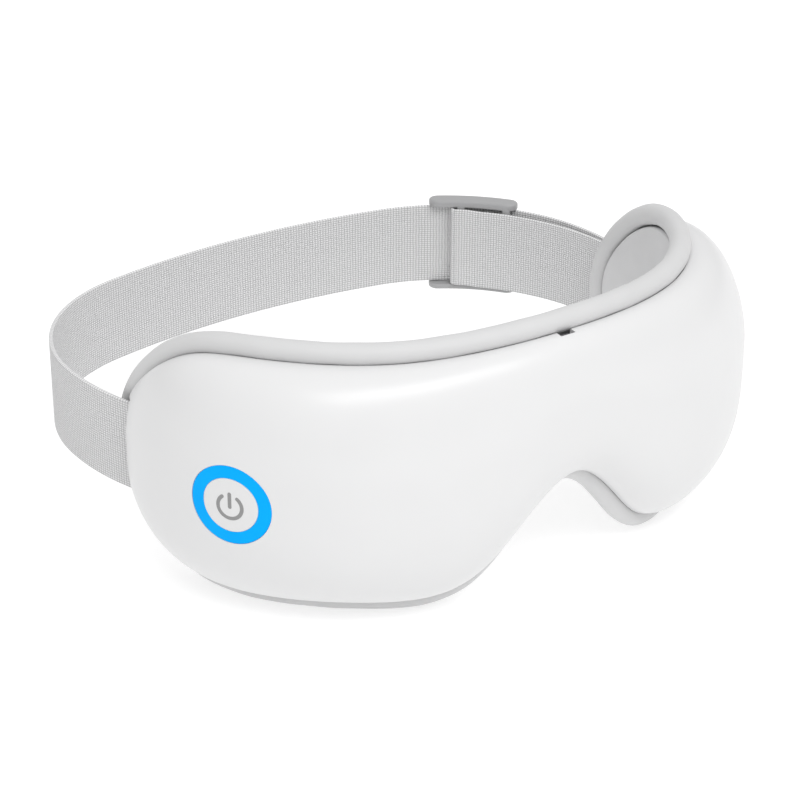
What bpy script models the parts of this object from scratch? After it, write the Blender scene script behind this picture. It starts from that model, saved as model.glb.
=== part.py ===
"""Eye massager mask with an adjustable head strap.

World axes: +Z up, the mask's front faces -Y, +X is to the viewer's right.
The mask is drawn in unrolled coordinates, in millimetres: u runs along the plan
curve of the soft roll's centre line (0 at the nose), z is the height, and
"out" is the distance from that curve towards the front.
"""

from math import atan2, copysign, cos, hypot, pi, radians, sin

import bmesh
import bpy
import numpy as np
from mathutils import Matrix, Vector

MM = 0.001

# plan curve of the mask: three arcs each side of the nose
FRONT_Y = -82.0
FRONT_RADIUS, FRONT_REACH = 120.0, 48.0
CHEEK_RADIUS, CHEEK_REACH = 75.0, 113.0
TEMPLE_RADIUS = 180.0

# outline of the soft roll's centre line, right half, from the brow round to the nose
OUTLINE = (
    (0.0, 85.8), (50.0, 84.3), (95.0, 83.8), (114.5, 81.2), (137.0, 67.8), (150.0, 45.8),
    (144.0, 23.8), (124.0, 6.8), (95.0, 3.3), (65.0, 3.5), (36.0, 6.4), (22.0, 18.8), (0.0, 36.1),
)
OUTLINE_SAMPLES = 720
STATIONS_PER_SIDE = 27
STATION_CROWDING = 1.6

# front shell
SHELL_INSET = 2.0
SHELL_OUT = 3.2
WALL = 1.8
DOME_AT_NOSE = 10.8
DOME_GROWTH = 0.19
DOME_BLEND = 14.0
DOME_END_POWER, DOME_END_ROUND = 2.5, 0.79
CROWN_SHARE = 0.59
ARCH_TOP = (1.38, 2.64)
ARCH_BOTTOM = (3.43, 1.62)
CROWN_SOFTNESS = 0.1
DOME_ROWS = 11

# soft roll and rear parts
ROLL_RADIUS = 3.6
FRAME_INSET, FRAME_BACK, FRAME_FRONT = 4.2, 1.2, 2.7
LIP_INSET, LIP_WIDTH, LIP_TOP = 6.8, 1.2, 5.2
PANEL_INSET, PANEL_BACK, PANEL_FRONT = 4.1, -2.2, -0.2
EYE_U, EYE_Z, EYE_RU, EYE_RZ = 33.0, 52.4, 21.0, 15.0
EYE_GAP = 0.8

# power button on the wearer's right lobe
RING_U, RING_Z = -95.5, 42.8
RING_RADIUS, RING_BORE = 13.0, 9.2
CAP_RADIUS = 8.9
RING_FLATTEN = 0.955
MARK_DROP, MARK_INNER, MARK_OUTER = 0.47, 3.38, 4.54
MARK_BAR_LOW, MARK_BAR_HIGH, MARK_BAR_HALF = -1.15, 4.43, 0.58
RING_CLEARANCE = 0.3

# strap
STRAP_TOP, STRAP_BOTTOM = 55.8, 25.8
STRAP_MIDDLE = (STRAP_TOP + STRAP_BOTTOM) / 2
STRAP_THICKNESS = 1.2
STRAP_BACK_Y = 95.6
BACK_ARC, BACK_RADIUS = 57.0, 257.0
CORNER_ARC, CORNER_RADIUS = 77.0, 62.0
SIDE_ARC, SIDE_RADIUS = 36.0, 92.0
MOUTH_ARC, MOUTH_RADIUS = 8.0, -50.0
STRAP_TAIL = 12.0
STRAP_STEP = 4.5
PIN_U = 129.0
SLOT_U = 137.0
SLOT_MARGIN = 2.5

# tri-glide slider
SLIDER_LENGTH, SLIDER_SHIFT = 33.4, 1.2
SLIDER_ANGLE = radians(45.0)
RAIL_HEIGHT, LOW_RAIL_HEIGHT, RAIL_GAP = 2.6, 2.0, 0.25
RAIL_INNER, RAIL_OUTER = 58.0, 64.95
BAR_THICKNESS, BAR_WIDTH = 1.6, 3.0
LAYER_GAP = 0.3
RETURN_DROP = 1.7
BAR_RADIUS = CORNER_RADIUS - STRAP_THICKNESS * 1.5 - 2 * LAYER_GAP - BAR_THICKNESS / 2
OUTER_BAR_RADIUS = CORNER_RADIUS + STRAP_THICKNESS / 2 + LAYER_GAP + BAR_THICKNESS / 2

# notch and socket at the brow
NOTCH_U, NOTCH_WIDTH, NOTCH_FLOOR, NOTCH_OUT = -2.0, 7.2, 81.4, 6.0
SOCKET_OUT, SOCKET_TOP = 4.7, 79.2
SOCKET_SIZE = (7.2, 2.6, 6.5)

# air system
PUMP_U, PUMP_Z, PUMP_OUT = 68.5, 56.0, 11.0
VALVE_U, VALVE_Z, VALVE_OUT = -63.0, 52.0, 9.5
BLADDER_BACK, BLADDER_FRONT = 2.9, 8.4

BOSS_RADIUS = 2.6
SCREW_SPOTS = ((75.0, 72.6), (75.0, 14.8), (112.0, 17.5))


# ---------------------------------------------------------------- scene and objects

def clear_scene():
    for item in list(bpy.data.objects):
        bpy.data.objects.remove(item, do_unlink=True)


def material(name, colour, roughness, metallic=0.0):
    made = bpy.data.materials.new(name)
    made.use_nodes = True
    shader = made.node_tree.nodes["Principled BSDF"]
    shader.inputs["Base Color"].default_value = (*colour, 1.0)
    shader.inputs["Roughness"].default_value = roughness
    shader.inputs["Metallic"].default_value = metallic
    return made


def make_object(name, verts, faces, surface, origin=(0.0, 0.0, 0.0)):
    """Object from millimetre vertices, with its origin at `origin`."""
    mesh = bpy.data.meshes.new(name)
    shift = Vector(origin)
    mesh.from_pydata([(Vector(v) - shift) * MM for v in verts], [], faces)
    work = bmesh.new()
    work.from_mesh(mesh)
    bmesh.ops.recalc_face_normals(work, faces=work.faces)
    work.to_mesh(mesh)
    work.free()
    item = bpy.data.objects.new(name, mesh)
    item.location = shift * MM
    bpy.context.scene.collection.objects.link(item)
    if surface is not None:
        mesh.materials.append(surface)
    mesh.shade_smooth()
    mesh.set_sharp_from_angle(angle=radians(35))
    return item


def cut(target, tool, operation="DIFFERENCE"):
    tool.hide_render = True
    tool.display_type = "WIRE"
    step = target.modifiers.new(tool.name, "BOOLEAN")
    step.object = tool
    step.operation = operation
    step.solver = "EXACT"


# ---------------------------------------------------------------- plan curve

def arc_table():
    """(start u, heading, x, y, radius) of each arc on the +X side."""
    table = []
    u, turn, x, y = 0.0, 0.0, 0.0, FRONT_Y
    arcs = ((FRONT_RADIUS, FRONT_REACH), (CHEEK_RADIUS, CHEEK_REACH), (TEMPLE_RADIUS, 1e9))
    for radius, end in arcs:
        table.append((u, turn, x, y, radius))
        next_turn = turn + (end - u) / radius
        x += radius * (sin(next_turn) - sin(turn))
        y += radius * (cos(turn) - cos(next_turn))
        u, turn = end, next_turn
    return table


ARCS = arc_table()


def plan_heading(u):
    size = abs(u)
    start, turn, _, _, radius = [arc for arc in ARCS if arc[0] <= size][-1]
    return copysign(turn + (size - start) / radius, u)


def wrap(u, z, out):
    """World point, in millimetres, of the unrolled point (u, z, out)."""
    size = abs(u)
    start, turn, x, y, radius = [arc for arc in ARCS if arc[0] <= size][-1]
    now = turn + (size - start) / radius
    x += radius * (sin(now) - sin(turn)) + out * sin(now)
    y += radius * (cos(turn) - cos(now)) - out * cos(now)
    return Vector((copysign(x, u), y, z))


def seat(u, z, out):
    """Frame at an unrolled point: X along the mask, Y towards the wearer, Z up."""
    return Matrix.Translation(wrap(u, z, out)) @ Matrix.Rotation(plan_heading(u), 4, "Z")


# ---------------------------------------------------------------- outline

def closed_curve(points, count):
    """Points of the smooth closed cubic curve through the given points."""
    pts = np.asarray(points, float)
    n = len(pts)
    chord = np.roll(pts, -1, axis=0) - pts
    span = np.hypot(chord[:, 0], chord[:, 1])
    system = np.zeros((n, n))
    for i in range(n):
        system[i, i - 1] = span[i - 1]
        system[i, i] = 2 * (span[i - 1] + span[i])
        system[i, (i + 1) % n] = span[i]
    slope = chord / span[:, None]
    bend = np.linalg.solve(system, 6 * (slope - np.roll(slope, 1, axis=0)))
    knots = np.concatenate([[0.0], np.cumsum(span)])
    t = np.linspace(0, knots[-1], count, endpoint=False)
    k = np.clip(np.searchsorted(knots, t, side="right") - 1, 0, n - 1)
    a = ((knots[k + 1] - t) / span[k])[:, None]
    b = 1 - a
    ends = a * pts[k] + b * pts[(k + 1) % n]
    bends = (a**3 - a) * bend[k] + (b**3 - b) * bend[(k + 1) % n]
    return ends + bends * span[k][:, None] ** 2 / 6


def full_outline(inset):
    """The closed outline moved inwards by `inset`, clockwise seen from the front."""
    left = [(-u, z) for u, z in OUTLINE[-2:0:-1]]
    curve = closed_curve(list(OUTLINE) + left, OUTLINE_SAMPLES)
    along = np.roll(curve, -1, axis=0) - np.roll(curve, 1, axis=0)
    along /= np.hypot(along[:, 0], along[:, 1])[:, None]
    outward = np.column_stack([-along[:, 1], along[:, 0]])
    return curve - outward * inset


def half_heights(inset):
    """Right half of an inset outline as (top u, top z, bottom u, bottom z)."""
    curve = full_outline(inset)[: OUTLINE_SAMPLES // 2 + 1]
    tip = int(np.argmax(curve[:, 0]))
    top, bottom = curve[: tip + 1], curve[tip:][::-1]
    return top[:, 0], top[:, 1], bottom[:, 0], bottom[:, 1]


HEIGHTS = {}


def top_and_bottom(u, inset):
    if inset not in HEIGHTS:
        HEIGHTS[inset] = half_heights(inset)
    tu, tz, bu, bz = HEIGHTS[inset]
    return float(np.interp(abs(u), tu, tz)), float(np.interp(abs(u), bu, bz))


def reach(inset):
    top_and_bottom(0.0, inset)
    return float(HEIGHTS[inset][0][-1])


def stations(inset):
    """Places along u between the two lobe tips, crowded towards the tips."""
    steps = np.linspace(-1, 1, 2 * STATIONS_PER_SIDE + 1)[1:-1]
    return [copysign(reach(inset) * (1 - (1 - abs(s)) ** STATION_CROWDING), s) for s in steps]


# ---------------------------------------------------------------- dome

def dome_rise(u, end):
    share = min(abs(u) / end, 1.0)
    base = DOME_AT_NOSE + DOME_GROWTH * (hypot(u, DOME_BLEND) - DOME_BLEND)
    return base * (1 - share**DOME_END_POWER) ** DOME_END_ROUND


def softened(way):
    """Share of the way from crown to rim, levelled off near the crown."""
    rise = hypot(min(way, 1.0), CROWN_SOFTNESS) - CROWN_SOFTNESS
    return min(rise / (hypot(1.0, CROWN_SOFTNESS) - CROWN_SOFTNESS), 1.0)


def dome_out(u, z, wall=0.0):
    """How far out the shell's skin stands at (u, z); `wall` gives the inner skin."""
    inset = SHELL_INSET + wall
    end = reach(inset)
    top, bottom = top_and_bottom(u, inset)
    crown = bottom + CROWN_SHARE * (top - bottom)
    if z > crown:
        power, rounding = ARCH_TOP
        way = (z - crown) / max(top - crown, 1e-6)
    else:
        power, rounding = ARCH_BOTTOM
        way = (crown - z) / max(crown - bottom, 1e-6)
    arch = (1 - softened(way) ** power) ** (1 / rounding)
    rise = dome_rise(u, end) - wall * (1 - min(abs(u) / end, 1.0) ** 8)
    return SHELL_OUT + rise * arch


# ---------------------------------------------------------------- lens-shaped solids

def ring_corners(inset, out):
    """Corner points of one rim: left tip, top row, right tip, bottom row."""
    places = stations(inset)
    end = reach(inset)
    tip_z = top_and_bottom(end, inset)[0]
    top = [wrap(u, top_and_bottom(u, inset)[0], out) for u in places]
    bottom = [wrap(u, top_and_bottom(u, inset)[1], out) for u in places]
    return wrap(-end, tip_z, out), top, wrap(end, tip_z, out), bottom


def fill_rim(verts, faces, ids, inset, rows, height):
    """Close a rim with a skin: straight across, or with `rows` of domed points."""
    left, top, right, bottom = ids
    columns = []
    for i, u in enumerate(stations(inset)):
        high, low = top_and_bottom(u, inset)
        column = [top[i]]
        for k in range(1, rows + 1):
            z = low + (high - low) * (1 + cos(pi * k / (rows + 1))) / 2
            column.append(len(verts))
            verts.append(wrap(u, z, height(u, z)))
        columns.append(column + [bottom[i]])
    for a, b in zip(columns, columns[1:]):
        for k in range(len(a) - 1):
            faces.append((a[k], b[k], b[k + 1], a[k + 1]))
    for tip, column in ((left, columns[0]), (right, columns[-1])):
        for k in range(len(column) - 1):
            faces.append((tip, column[k], column[k + 1]))


def lens_solid(name, rims, surface, rows=0, back_height=None, front_height=None):
    """Solid between rims listed from the back face's edge to the front face's edge."""
    verts, faces, loops, ids = [], [], [], []
    for inset, out in rims:
        left, top, right, bottom = ring_corners(inset, out)
        start = len(verts)
        n = len(top)
        verts.extend([left, *top, right, *bottom])
        ids.append((start, list(range(start + 1, start + 1 + n)), start + 1 + n,
                    list(range(start + 2 + n, start + 2 + 2 * n))))
        loops.append([start, *ids[-1][1], start + 1 + n, *reversed(ids[-1][3])])
    for a, b in zip(loops, loops[1:]):
        for k in range(len(a)):
            m = (k + 1) % len(a)
            faces.append((a[k], a[m], b[m], b[k]))
    fill_rim(verts, faces, ids[0], rims[0][0], rows, back_height)
    fill_rim(verts, faces, ids[-1], rims[-1][0], rows, front_height)
    return make_object(name, verts, faces, surface)


# ---------------------------------------------------------------- simple solids

def stack_solid(name, loops, surface, origin=(0.0, 0.0, 0.0)):
    """Solid through closed loops of equal count, capped at both ends."""
    n = len(loops[0])
    verts = [v for loop in loops for v in loop]
    faces = [tuple(range(n)), tuple(range((len(loops) - 1) * n, len(loops) * n))]
    for j in range(len(loops) - 1):
        for k in range(n):
            m = (k + 1) % n
            faces.append((j * n + k, j * n + m, (j + 1) * n + m, (j + 1) * n + k))
    return make_object(name, verts, faces, surface, origin)


def circle(radius, sides, start=0.0):
    return [(radius * cos(start + 2 * pi * k / sides), radius * sin(start + 2 * pi * k / sides))
            for k in range(sides)]


def turned(name, frame, profile, surface, sides=20, origin=None):
    """Round solid about the frame's Z axis through (radius, height) steps."""
    loops = [[frame @ Vector((x, y, h)) for x, y in circle(r, sides)] for r, h in profile]
    return stack_solid(name, loops, surface, frame.translation if origin is None else origin)


def block(name, frame, low, high, surface, bevel=0.0, origin=None):
    """Box between two corners in a frame, with chamfered upright edges."""
    x0, y0, z0 = low
    x1, y1, z1 = high
    c = bevel
    if c:
        plan = [(x0 + c, y0), (x1 - c, y0), (x1, y0 + c), (x1, y1 - c),
                (x1 - c, y1), (x0 + c, y1), (x0, y1 - c), (x0, y0 + c)]
    else:
        plan = [(x0, y0), (x1, y0), (x1, y1), (x0, y1)]
    loops = [[frame @ Vector((x, y, z)) for x, y in plan] for z in (z0, z1)]
    return stack_solid(name, loops, surface, frame.translation if origin is None else origin)


def tube(name, path, radius, surface, sides=8):
    """Round bar with flat ends along a list of world points."""
    loops = []
    for i, point in enumerate(path):
        before, after = path[max(i - 1, 0)], path[min(i + 1, len(path) - 1)]
        along = (after - before).normalized()
        side = along.cross(Vector((0, 0, 1))).normalized()
        up = side.cross(along)
        loops.append([point + side * x + up * y for x, y in circle(radius, sides)])
    return stack_solid(name, loops, surface)


def wrapped_pad(name, centre, radii, outs, surface, crown=0.0, sides=24, origin=(0.0, 0.0, 0.0)):
    """Oval pad that follows the mask's curve; `outs` is (back, front)."""
    verts, faces = [], []
    shares = (1.0, 0.82, 0.5)
    back, front = outs
    rows = []
    for share in shares[::-1]:
        rows.append((share, back - crown * (1 - share**2)))
    for share in shares:
        rows.append((share, front))
    first = len(verts)
    verts.append(wrap(centre[0], centre[1], back - crown))
    for share, out in rows:
        for a, b in circle(1.0, sides):
            verts.append(wrap(centre[0] + radii[0] * share * a, centre[1] + radii[1] * share * b, out))
    last = len(verts)
    verts.append(wrap(centre[0], centre[1], front))
    for k in range(sides):
        m = (k + 1) % sides
        faces.append((first, 1 + m, 1 + k))
        for j in range(len(rows) - 1):
            a, b = 1 + j * sides, 1 + (j + 1) * sides
            faces.append((a + k, a + m, b + m, b + k))
        end = 1 + (len(rows) - 1) * sides
        faces.append((last, end + k, end + m))
    return make_object(name, verts, faces, surface, origin)


# ---------------------------------------------------------------- housing

def ring_frame():
    """Frame on the dome at the button: X and Z lie in the skin, Y points inwards."""
    step = 1.5
    here = wrap(RING_U, RING_Z, dome_out(RING_U, RING_Z))
    ahead = wrap(RING_U + step, RING_Z, dome_out(RING_U + step, RING_Z))
    behind = wrap(RING_U - step, RING_Z, dome_out(RING_U - step, RING_Z))
    above = wrap(RING_U, RING_Z + step, dome_out(RING_U, RING_Z + step))
    below = wrap(RING_U, RING_Z - step, dome_out(RING_U, RING_Z - step))
    inward = (above - below).cross(ahead - behind).normalized()
    side = inward.cross(Vector((0, 0, 1))).normalized()
    up = side.cross(inward)
    basis = Matrix((side, inward, up)).transposed().to_4x4()
    return Matrix.Translation(here) @ basis


def unwrap(point):
    """Unrolled (u, out) of a world point beside one cheek arc."""
    start, turn, x, y, radius = ARCS[1]
    centre_x, centre_y = x - radius * sin(turn), y + radius * cos(turn)
    dx, dy = abs(point.x) - centre_x, point.y - centre_y
    heading = atan2(dx, -dy)
    return copysign(start + (heading - turn) * radius, point.x), hypot(dx, dy) - radius


def skin_point(frame, x, z, depth):
    """Point `depth` below the dome's skin, straight in from (x, z) of the button frame."""
    inward = frame.col[1].to_3d()
    point = frame @ Vector((x, 0, z * RING_FLATTEN))
    for _ in range(6):
        u, out = unwrap(point)
        point = point + inward * (out - dome_out(u, point.z))
    return point + inward * depth


def inlay(name, frame, radii, depths, surface, sides=36, origin=(0.0, 0.0, 0.0)):
    """Ring (inner radius > 0) or disc that follows the dome between two depths."""
    inner, outer = radii
    steps = [inner, (inner + outer) / 2, outer] if inner else [outer * 0.5, outer]
    verts, faces = [], []
    rows = [(r, depths[0]) for r in steps] + [(r, depths[1]) for r in reversed(steps)]
    for r, depth in rows:
        verts.extend(skin_point(frame, x, z, depth) for x, z in circle(r, sides))
    count = len(rows)
    closing = count if inner else count - 1
    for j in range(closing):
        a, b = j * sides, ((j + 1) % count) * sides
        for k in range(sides):
            m = (k + 1) % sides
            faces.append((a + k, a + m, b + m, b + k))
    if not inner:
        faces.append(tuple(range(sides)))
        faces.append(tuple(range((count - 1) * sides, count * sides)))
    return make_object(name, verts, faces, surface, origin)


def screw_bosses(shell, surface):
    for side in (-1, 1):
        for n, (u, z) in enumerate(SCREW_SPOTS):
            place = seat(side * u, z, 0)
            mark = f"{n}_{'left' if side < 0 else 'right'}"
            tip = min(dome_out(u + du, z + dz) for du, dz in circle(BOSS_RADIUS, 12)) - 0.6
            axis = place @ Matrix.Rotation(pi / 2, 4, "X")
            boss = ((BOSS_RADIUS, 3.1), (BOSS_RADIUS, tip))
            cut(shell, turned(f"boss_{mark}", axis, boss, surface, 14), "UNION")
            cut(shell, turned(f"boss_bore_{mark}", axis, ((1.25, 2.0), (1.25, 9.2)), surface, 12))


def build_shell(white, frame):
    shell = lens_solid(
        "front_shell",
        [(SHELL_INSET + WALL, SHELL_OUT), (SHELL_INSET, SHELL_OUT)],
        white, DOME_ROWS,
        lambda u, z: dome_out(u, z, WALL), dome_out)
    screw_bosses(shell, white)
    hole = frame @ Matrix.Rotation(-pi / 2, 4, "X") @ Matrix.Diagonal((1, RING_FLATTEN, 1, 1))
    bore = RING_RADIUS + RING_CLEARANCE
    cut(shell, turned("ring_hole", hole, ((bore, -6.0), (bore, 8.0)), None, 36))
    half = NOTCH_WIDTH / 2
    notch = seat(NOTCH_U, 0, 0)
    cut(shell, block("brow_notch", notch, (-half, -NOTCH_OUT, NOTCH_FLOOR), (half, -1.0, 90.0), None))
    reach_x, reach_y, _ = SOCKET_SIZE
    mouth = seat(NOTCH_U, 0, SOCKET_OUT)
    half_x, half_y = reach_x / 2 + 0.3, reach_y / 2 + 0.3
    cut(shell, block("socket_mouth", mouth, (-half_x, -half_y, 70.0), (half_x, half_y, 90.0), None))
    for side, mark in ((-1, "left"), (1, "right")):
        inner = wrap(side * SLOT_U, 0, 0)
        low, high = STRAP_BOTTOM - SLOT_MARGIN, STRAP_TOP + SLOT_MARGIN
        xs = sorted((side * 90.0, side * 125.0))
        place = Matrix.Translation((0, inner.y, 0))
        cut(shell, block(f"strap_slot_{mark}", place, (xs[0], 0.0, low), (xs[1], 30.0, high), None))
    return shell


def build_frame(grey):
    lip_end = LIP_INSET + LIP_WIDTH
    rims = [(FRAME_INSET, FRAME_BACK), (FRAME_INSET, FRAME_FRONT), (LIP_INSET, FRAME_FRONT),
            (LIP_INSET, LIP_TOP), (lip_end, LIP_TOP), (lip_end, FRAME_FRONT)]
    frame = lens_solid("inner_frame", rims, grey)
    for side, mark in ((-1, "left"), (1, "right")):
        radii = (EYE_RU + EYE_GAP, EYE_RZ + EYE_GAP)
        cut(frame, wrapped_pad(f"frame_window_{mark}", (side * EYE_U, EYE_Z), radii, (-1.0, 5.0), None))
        for n, (u, z) in enumerate(SCREW_SPOTS):
            axis = seat(side * u, z, 0) @ Matrix.Rotation(pi / 2, 4, "X")
            cut(frame, turned(f"frame_hole_{n}_{mark}", axis, ((1.3, -1.0), (1.3, 4.5)), None, 12))
        inner = wrap(side * (SLOT_U - 4.5), 0, 0)
        xs = sorted((side * 88.0, side * 125.0))
        place = Matrix.Translation((0, inner.y, 0))
        outer = wrap(side * (SLOT_U - 4.5), 0, FRAME_FRONT + 0.6)
        gate = sorted((outer.x, side * 125.0))
        cut(frame, block(f"frame_gate_{mark}", place, (gate[0], 0.0, STRAP_BOTTOM - SLOT_MARGIN),
                         (gate[1], 30.0, STRAP_TOP + SLOT_MARGIN), None))
    half_x = SOCKET_SIZE[0] / 2 + 0.5
    mouth = seat(NOTCH_U, 0, 0)
    cut(frame, block("lip_gap", mouth, (-half_x, -9.0, 70.0), (half_x, -3.2, 90.0), None))
    return frame


def build_roll(soft):
    curve = full_outline(0.0)
    count, sides = 96, 12
    picks = [curve[int(k * OUTLINE_SAMPLES / count)] for k in range(count)]
    verts, faces = [], []
    for k, (u, z) in enumerate(picks):
        ahead, behind = picks[(k + 1) % count], picks[k - 1]
        du, dz = ahead[0] - behind[0], ahead[1] - behind[1]
        size = hypot(du, dz)
        for a, b in circle(ROLL_RADIUS, sides, pi / sides):
            point_z = z + du / size * b
            verts.append(wrap(u - dz / size * b, max(point_z, 0.0), a))
    for k in range(count):
        m = (k + 1) % count
        for j in range(sides):
            i = (j + 1) % sides
            faces.append((k * sides + j, k * sides + i, m * sides + i, m * sides + j))
    return make_object("cushion_roll", verts, faces, soft)


def build_panel(soft):
    panel = lens_solid("face_panel", [(PANEL_INSET, PANEL_BACK), (PANEL_INSET, PANEL_FRONT)], soft)
    for side, mark in ((-1, "left"), (1, "right")):
        radii = (EYE_RU + EYE_GAP, EYE_RZ + EYE_GAP)
        cut(panel, wrapped_pad(f"panel_window_{mark}", (side * EYE_U, EYE_Z), radii, (-5.0, 2.0), None))
    return panel


def build_screws(steel):
    for side, mark in ((-1, "left"), (1, "right")):
        for n, (u, z) in enumerate(SCREW_SPOTS):
            axis = seat(side * u, z, 0) @ Matrix.Rotation(pi / 2, 4, "X")
            steps = ((2.0, 0.1), (2.0, 0.9), (0.95, 0.9), (0.95, 8.6))
            screw = turned(f"screw_{mark}_{n + 1}", axis, steps, steel, 12)
            slot = block(f"drive_{mark}_{n}", axis, (-1.5, -0.3, 0.0), (1.5, 0.3, 0.45), None)
            cut(screw, slot)


# ---------------------------------------------------------------- eye modules

def build_eye_modules(pad_grey, film, rubber):
    for side, mark in ((-1, "left"), (1, "right")):
        centre = (side * EYE_U, EYE_Z)
        origin = wrap(centre[0], centre[1], 0)
        cushion, sheet, bladder = [(EYE_RU - less, EYE_RZ - less) for less in (0.0, 1.5, 1.0)]
        wrapped_pad(f"eye_cushion_{mark}", centre, cushion, (-2.2, 1.8), pad_grey, 1.4, origin=origin)
        wrapped_pad(f"heating_film_{mark}", centre, sheet, (2.1, 2.5), film, origin=origin)
        wrapped_pad(f"air_bladder_{mark}", centre, bladder, (BLADDER_BACK, BLADDER_FRONT), rubber)


# ---------------------------------------------------------------- power button

def symbol_loops(frame, plan, depths):
    return [[skin_point(frame, x, z, d) for x, z in plan] for d in depths]


def arc_plan(inner, outer, gap, steps=18):
    """Ring sector open at the top by `gap` radians each side."""
    turns = [pi / 2 + gap + (2 * pi - 2 * gap) * k / steps for k in range(steps + 1)]
    return ([(outer * cos(t), outer * sin(t) - MARK_DROP) for t in turns]
            + [(inner * cos(t), inner * sin(t) - MARK_DROP) for t in reversed(turns)])


def bar_plan(half, low, high):
    return [(-half, low), (half, low), (half, high), (-half, high)]


def build_power_button(frame, blue, white, mark_grey, rubber):
    inlay("light_ring", frame, (RING_BORE, RING_RADIUS), (0.05, 2.6), blue)
    origin = frame.translation
    cap = inlay("button_cap", frame, (0, CAP_RADIUS), (0.05, 4.5), white, origin=origin)
    spin = frame @ Matrix.Rotation(-pi / 2, 4, "X")
    cut(cap, turned("cap_flange", spin, ((10.6, 4.3), (10.6, 5.1)), None, 36), "UNION")
    cut(cap, turned("cap_post", spin, ((1.6, 5.0), (1.6, 5.7)), None, 12), "UNION")
    arc = arc_plan(MARK_INNER, MARK_OUTER, radians(32))
    arc_room = arc_plan(MARK_INNER - 0.15, MARK_OUTER + 0.15, radians(30))
    bar = bar_plan(MARK_BAR_HALF, MARK_BAR_LOW, MARK_BAR_HIGH)
    bar_room = bar_plan(MARK_BAR_HALF + 0.15, MARK_BAR_LOW - 0.15, MARK_BAR_HIGH + 0.15)
    cut(cap, stack_solid("arc_room", symbol_loops(frame, arc_room, (-1.0, 0.7)), None))
    cut(cap, stack_solid("bar_room", symbol_loops(frame, bar_room, (-1.0, 0.7)), None))
    stack_solid("power_mark_arc", symbol_loops(frame, arc, (0.0, 0.5)), mark_grey, origin)
    stack_solid("power_mark_bar", symbol_loops(frame, bar, (0.0, 0.5)), mark_grey, origin)
    spring = turned("button_spring", spin, ((6.6, 5.5), (7.6, 9.8)), rubber, 24)
    cut(spring, turned("spring_bore", spin, ((5.4, 5.2), (6.4, 10.2)), None, 24))


def build_button_board(frame, board, black):
    spin = frame @ Matrix.Rotation(-pi / 2, 4, "X")
    plate = block("light_board", spin, (-14.0, -11.0, 10.2), (14.0, 11.0, 11.3), board, 2.0)
    for k, (x, y) in enumerate(circle(11.0, 6)):
        lamp = spin @ Matrix.Translation((x, y * 0.85, 0))
        cut(plate, block(f"lamp_{k}", lamp, (-1.2, -0.8, 9.2), (1.2, 0.8, 10.4), None), "UNION")
    switch = block("tact_switch", spin, (-3.0, -3.0, 7.2), (3.0, 3.0, 9.9), black, 0.4)
    cut(switch, turned("switch_stem", spin, ((1.6, 6.4), (1.6, 7.4)), None, 12), "UNION")


# ---------------------------------------------------------------- electronics and air

def build_main_board(board):
    place = seat(-100.0, 45.0, 7.0)
    plate = block("main_board", place, (-18.0, -0.6, -17.0), (18.0, 0.6, 17.0), board)
    chips = ((-12, -2, -4, 8, 1.8), (2, 10, -12, -4, 1.4), (4, 14, 4, 10, 1.6), (-14, -8, -14, -8, 1.2))
    for n, (x0, x1, z0, z1, tall) in enumerate(chips):
        cut(plate, block(f"chip_{n}", place, (x0, -tall, z0), (x1, -0.5, z1), None), "UNION")


def build_battery(wrapper):
    place = seat(103.0, 43.0, 9.6) @ Matrix.Rotation(pi / 2, 4, "X")
    block("battery", place, (-18.0, -16.0, -3.2), (18.0, 16.0, 3.2), wrapper, 2.0)


def build_pump(motor_metal, housing, brass):
    place = seat(PUMP_U, PUMP_Z, PUMP_OUT)
    shaft = place @ Matrix.Rotation(pi / 2, 4, "Y")
    profile = ((6.0, -13.0), (6.0, -1.0), (2.2, -1.0), (2.2, 0.0), (0.7, 0.0), (0.7, 5.2))
    turned("pump_motor", shaft, profile, motor_metal, 20)
    wheel = turned("pump_eccentric", shaft, ((4.2, 1.2), (4.2, 3.4)), brass, 20)
    crank = shaft @ Matrix.Translation((2.4, 0, 0))
    cut(wheel, turned("crank_pin", crank, ((0.9, 3.3), (0.9, 5.4)), None, 10), "UNION")
    cut(wheel, turned("wheel_bore", shaft, ((1.0, 0.5), (1.0, 6.0)), None, 12))
    body = block("pump_body", place, (0.6, -6.2, -6.2), (13.2, 6.2, 6.2), housing)
    cut(body, turned("pump_bowl", shaft, ((5.1, -1.0), (5.1, 6.8)), None, 24))
    for n, x in enumerate((6.0, 10.5)):
        nipple = place @ Matrix.Translation((x, 0, 0))
        cut(body, turned(f"pump_nipple_{n}", nipple, ((1.2, 6.0), (1.2, 9.6)), None, 10), "UNION")


def build_valve(housing, steel):
    place = seat(VALVE_U, VALVE_Z, VALVE_OUT)
    body = block("valve_body", place, (-6.0, -4.5, -5.5), (6.0, 4.5, 5.5), housing)
    cut(body, turned("valve_bore", place, ((1.7, -3.0), (1.7, 7.0)), None, 16))
    nipple = place @ Matrix.Rotation(pi / 2, 4, "Y")
    cut(body, turned("valve_nipple", nipple, ((1.2, 5.8), (1.2, 8.4)), None, 10), "UNION")
    turned("valve_plunger", place, ((1.4, -1.6), (1.4, 6.6), (2.4, 6.6), (2.4, 7.6)), steel, 16)


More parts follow.
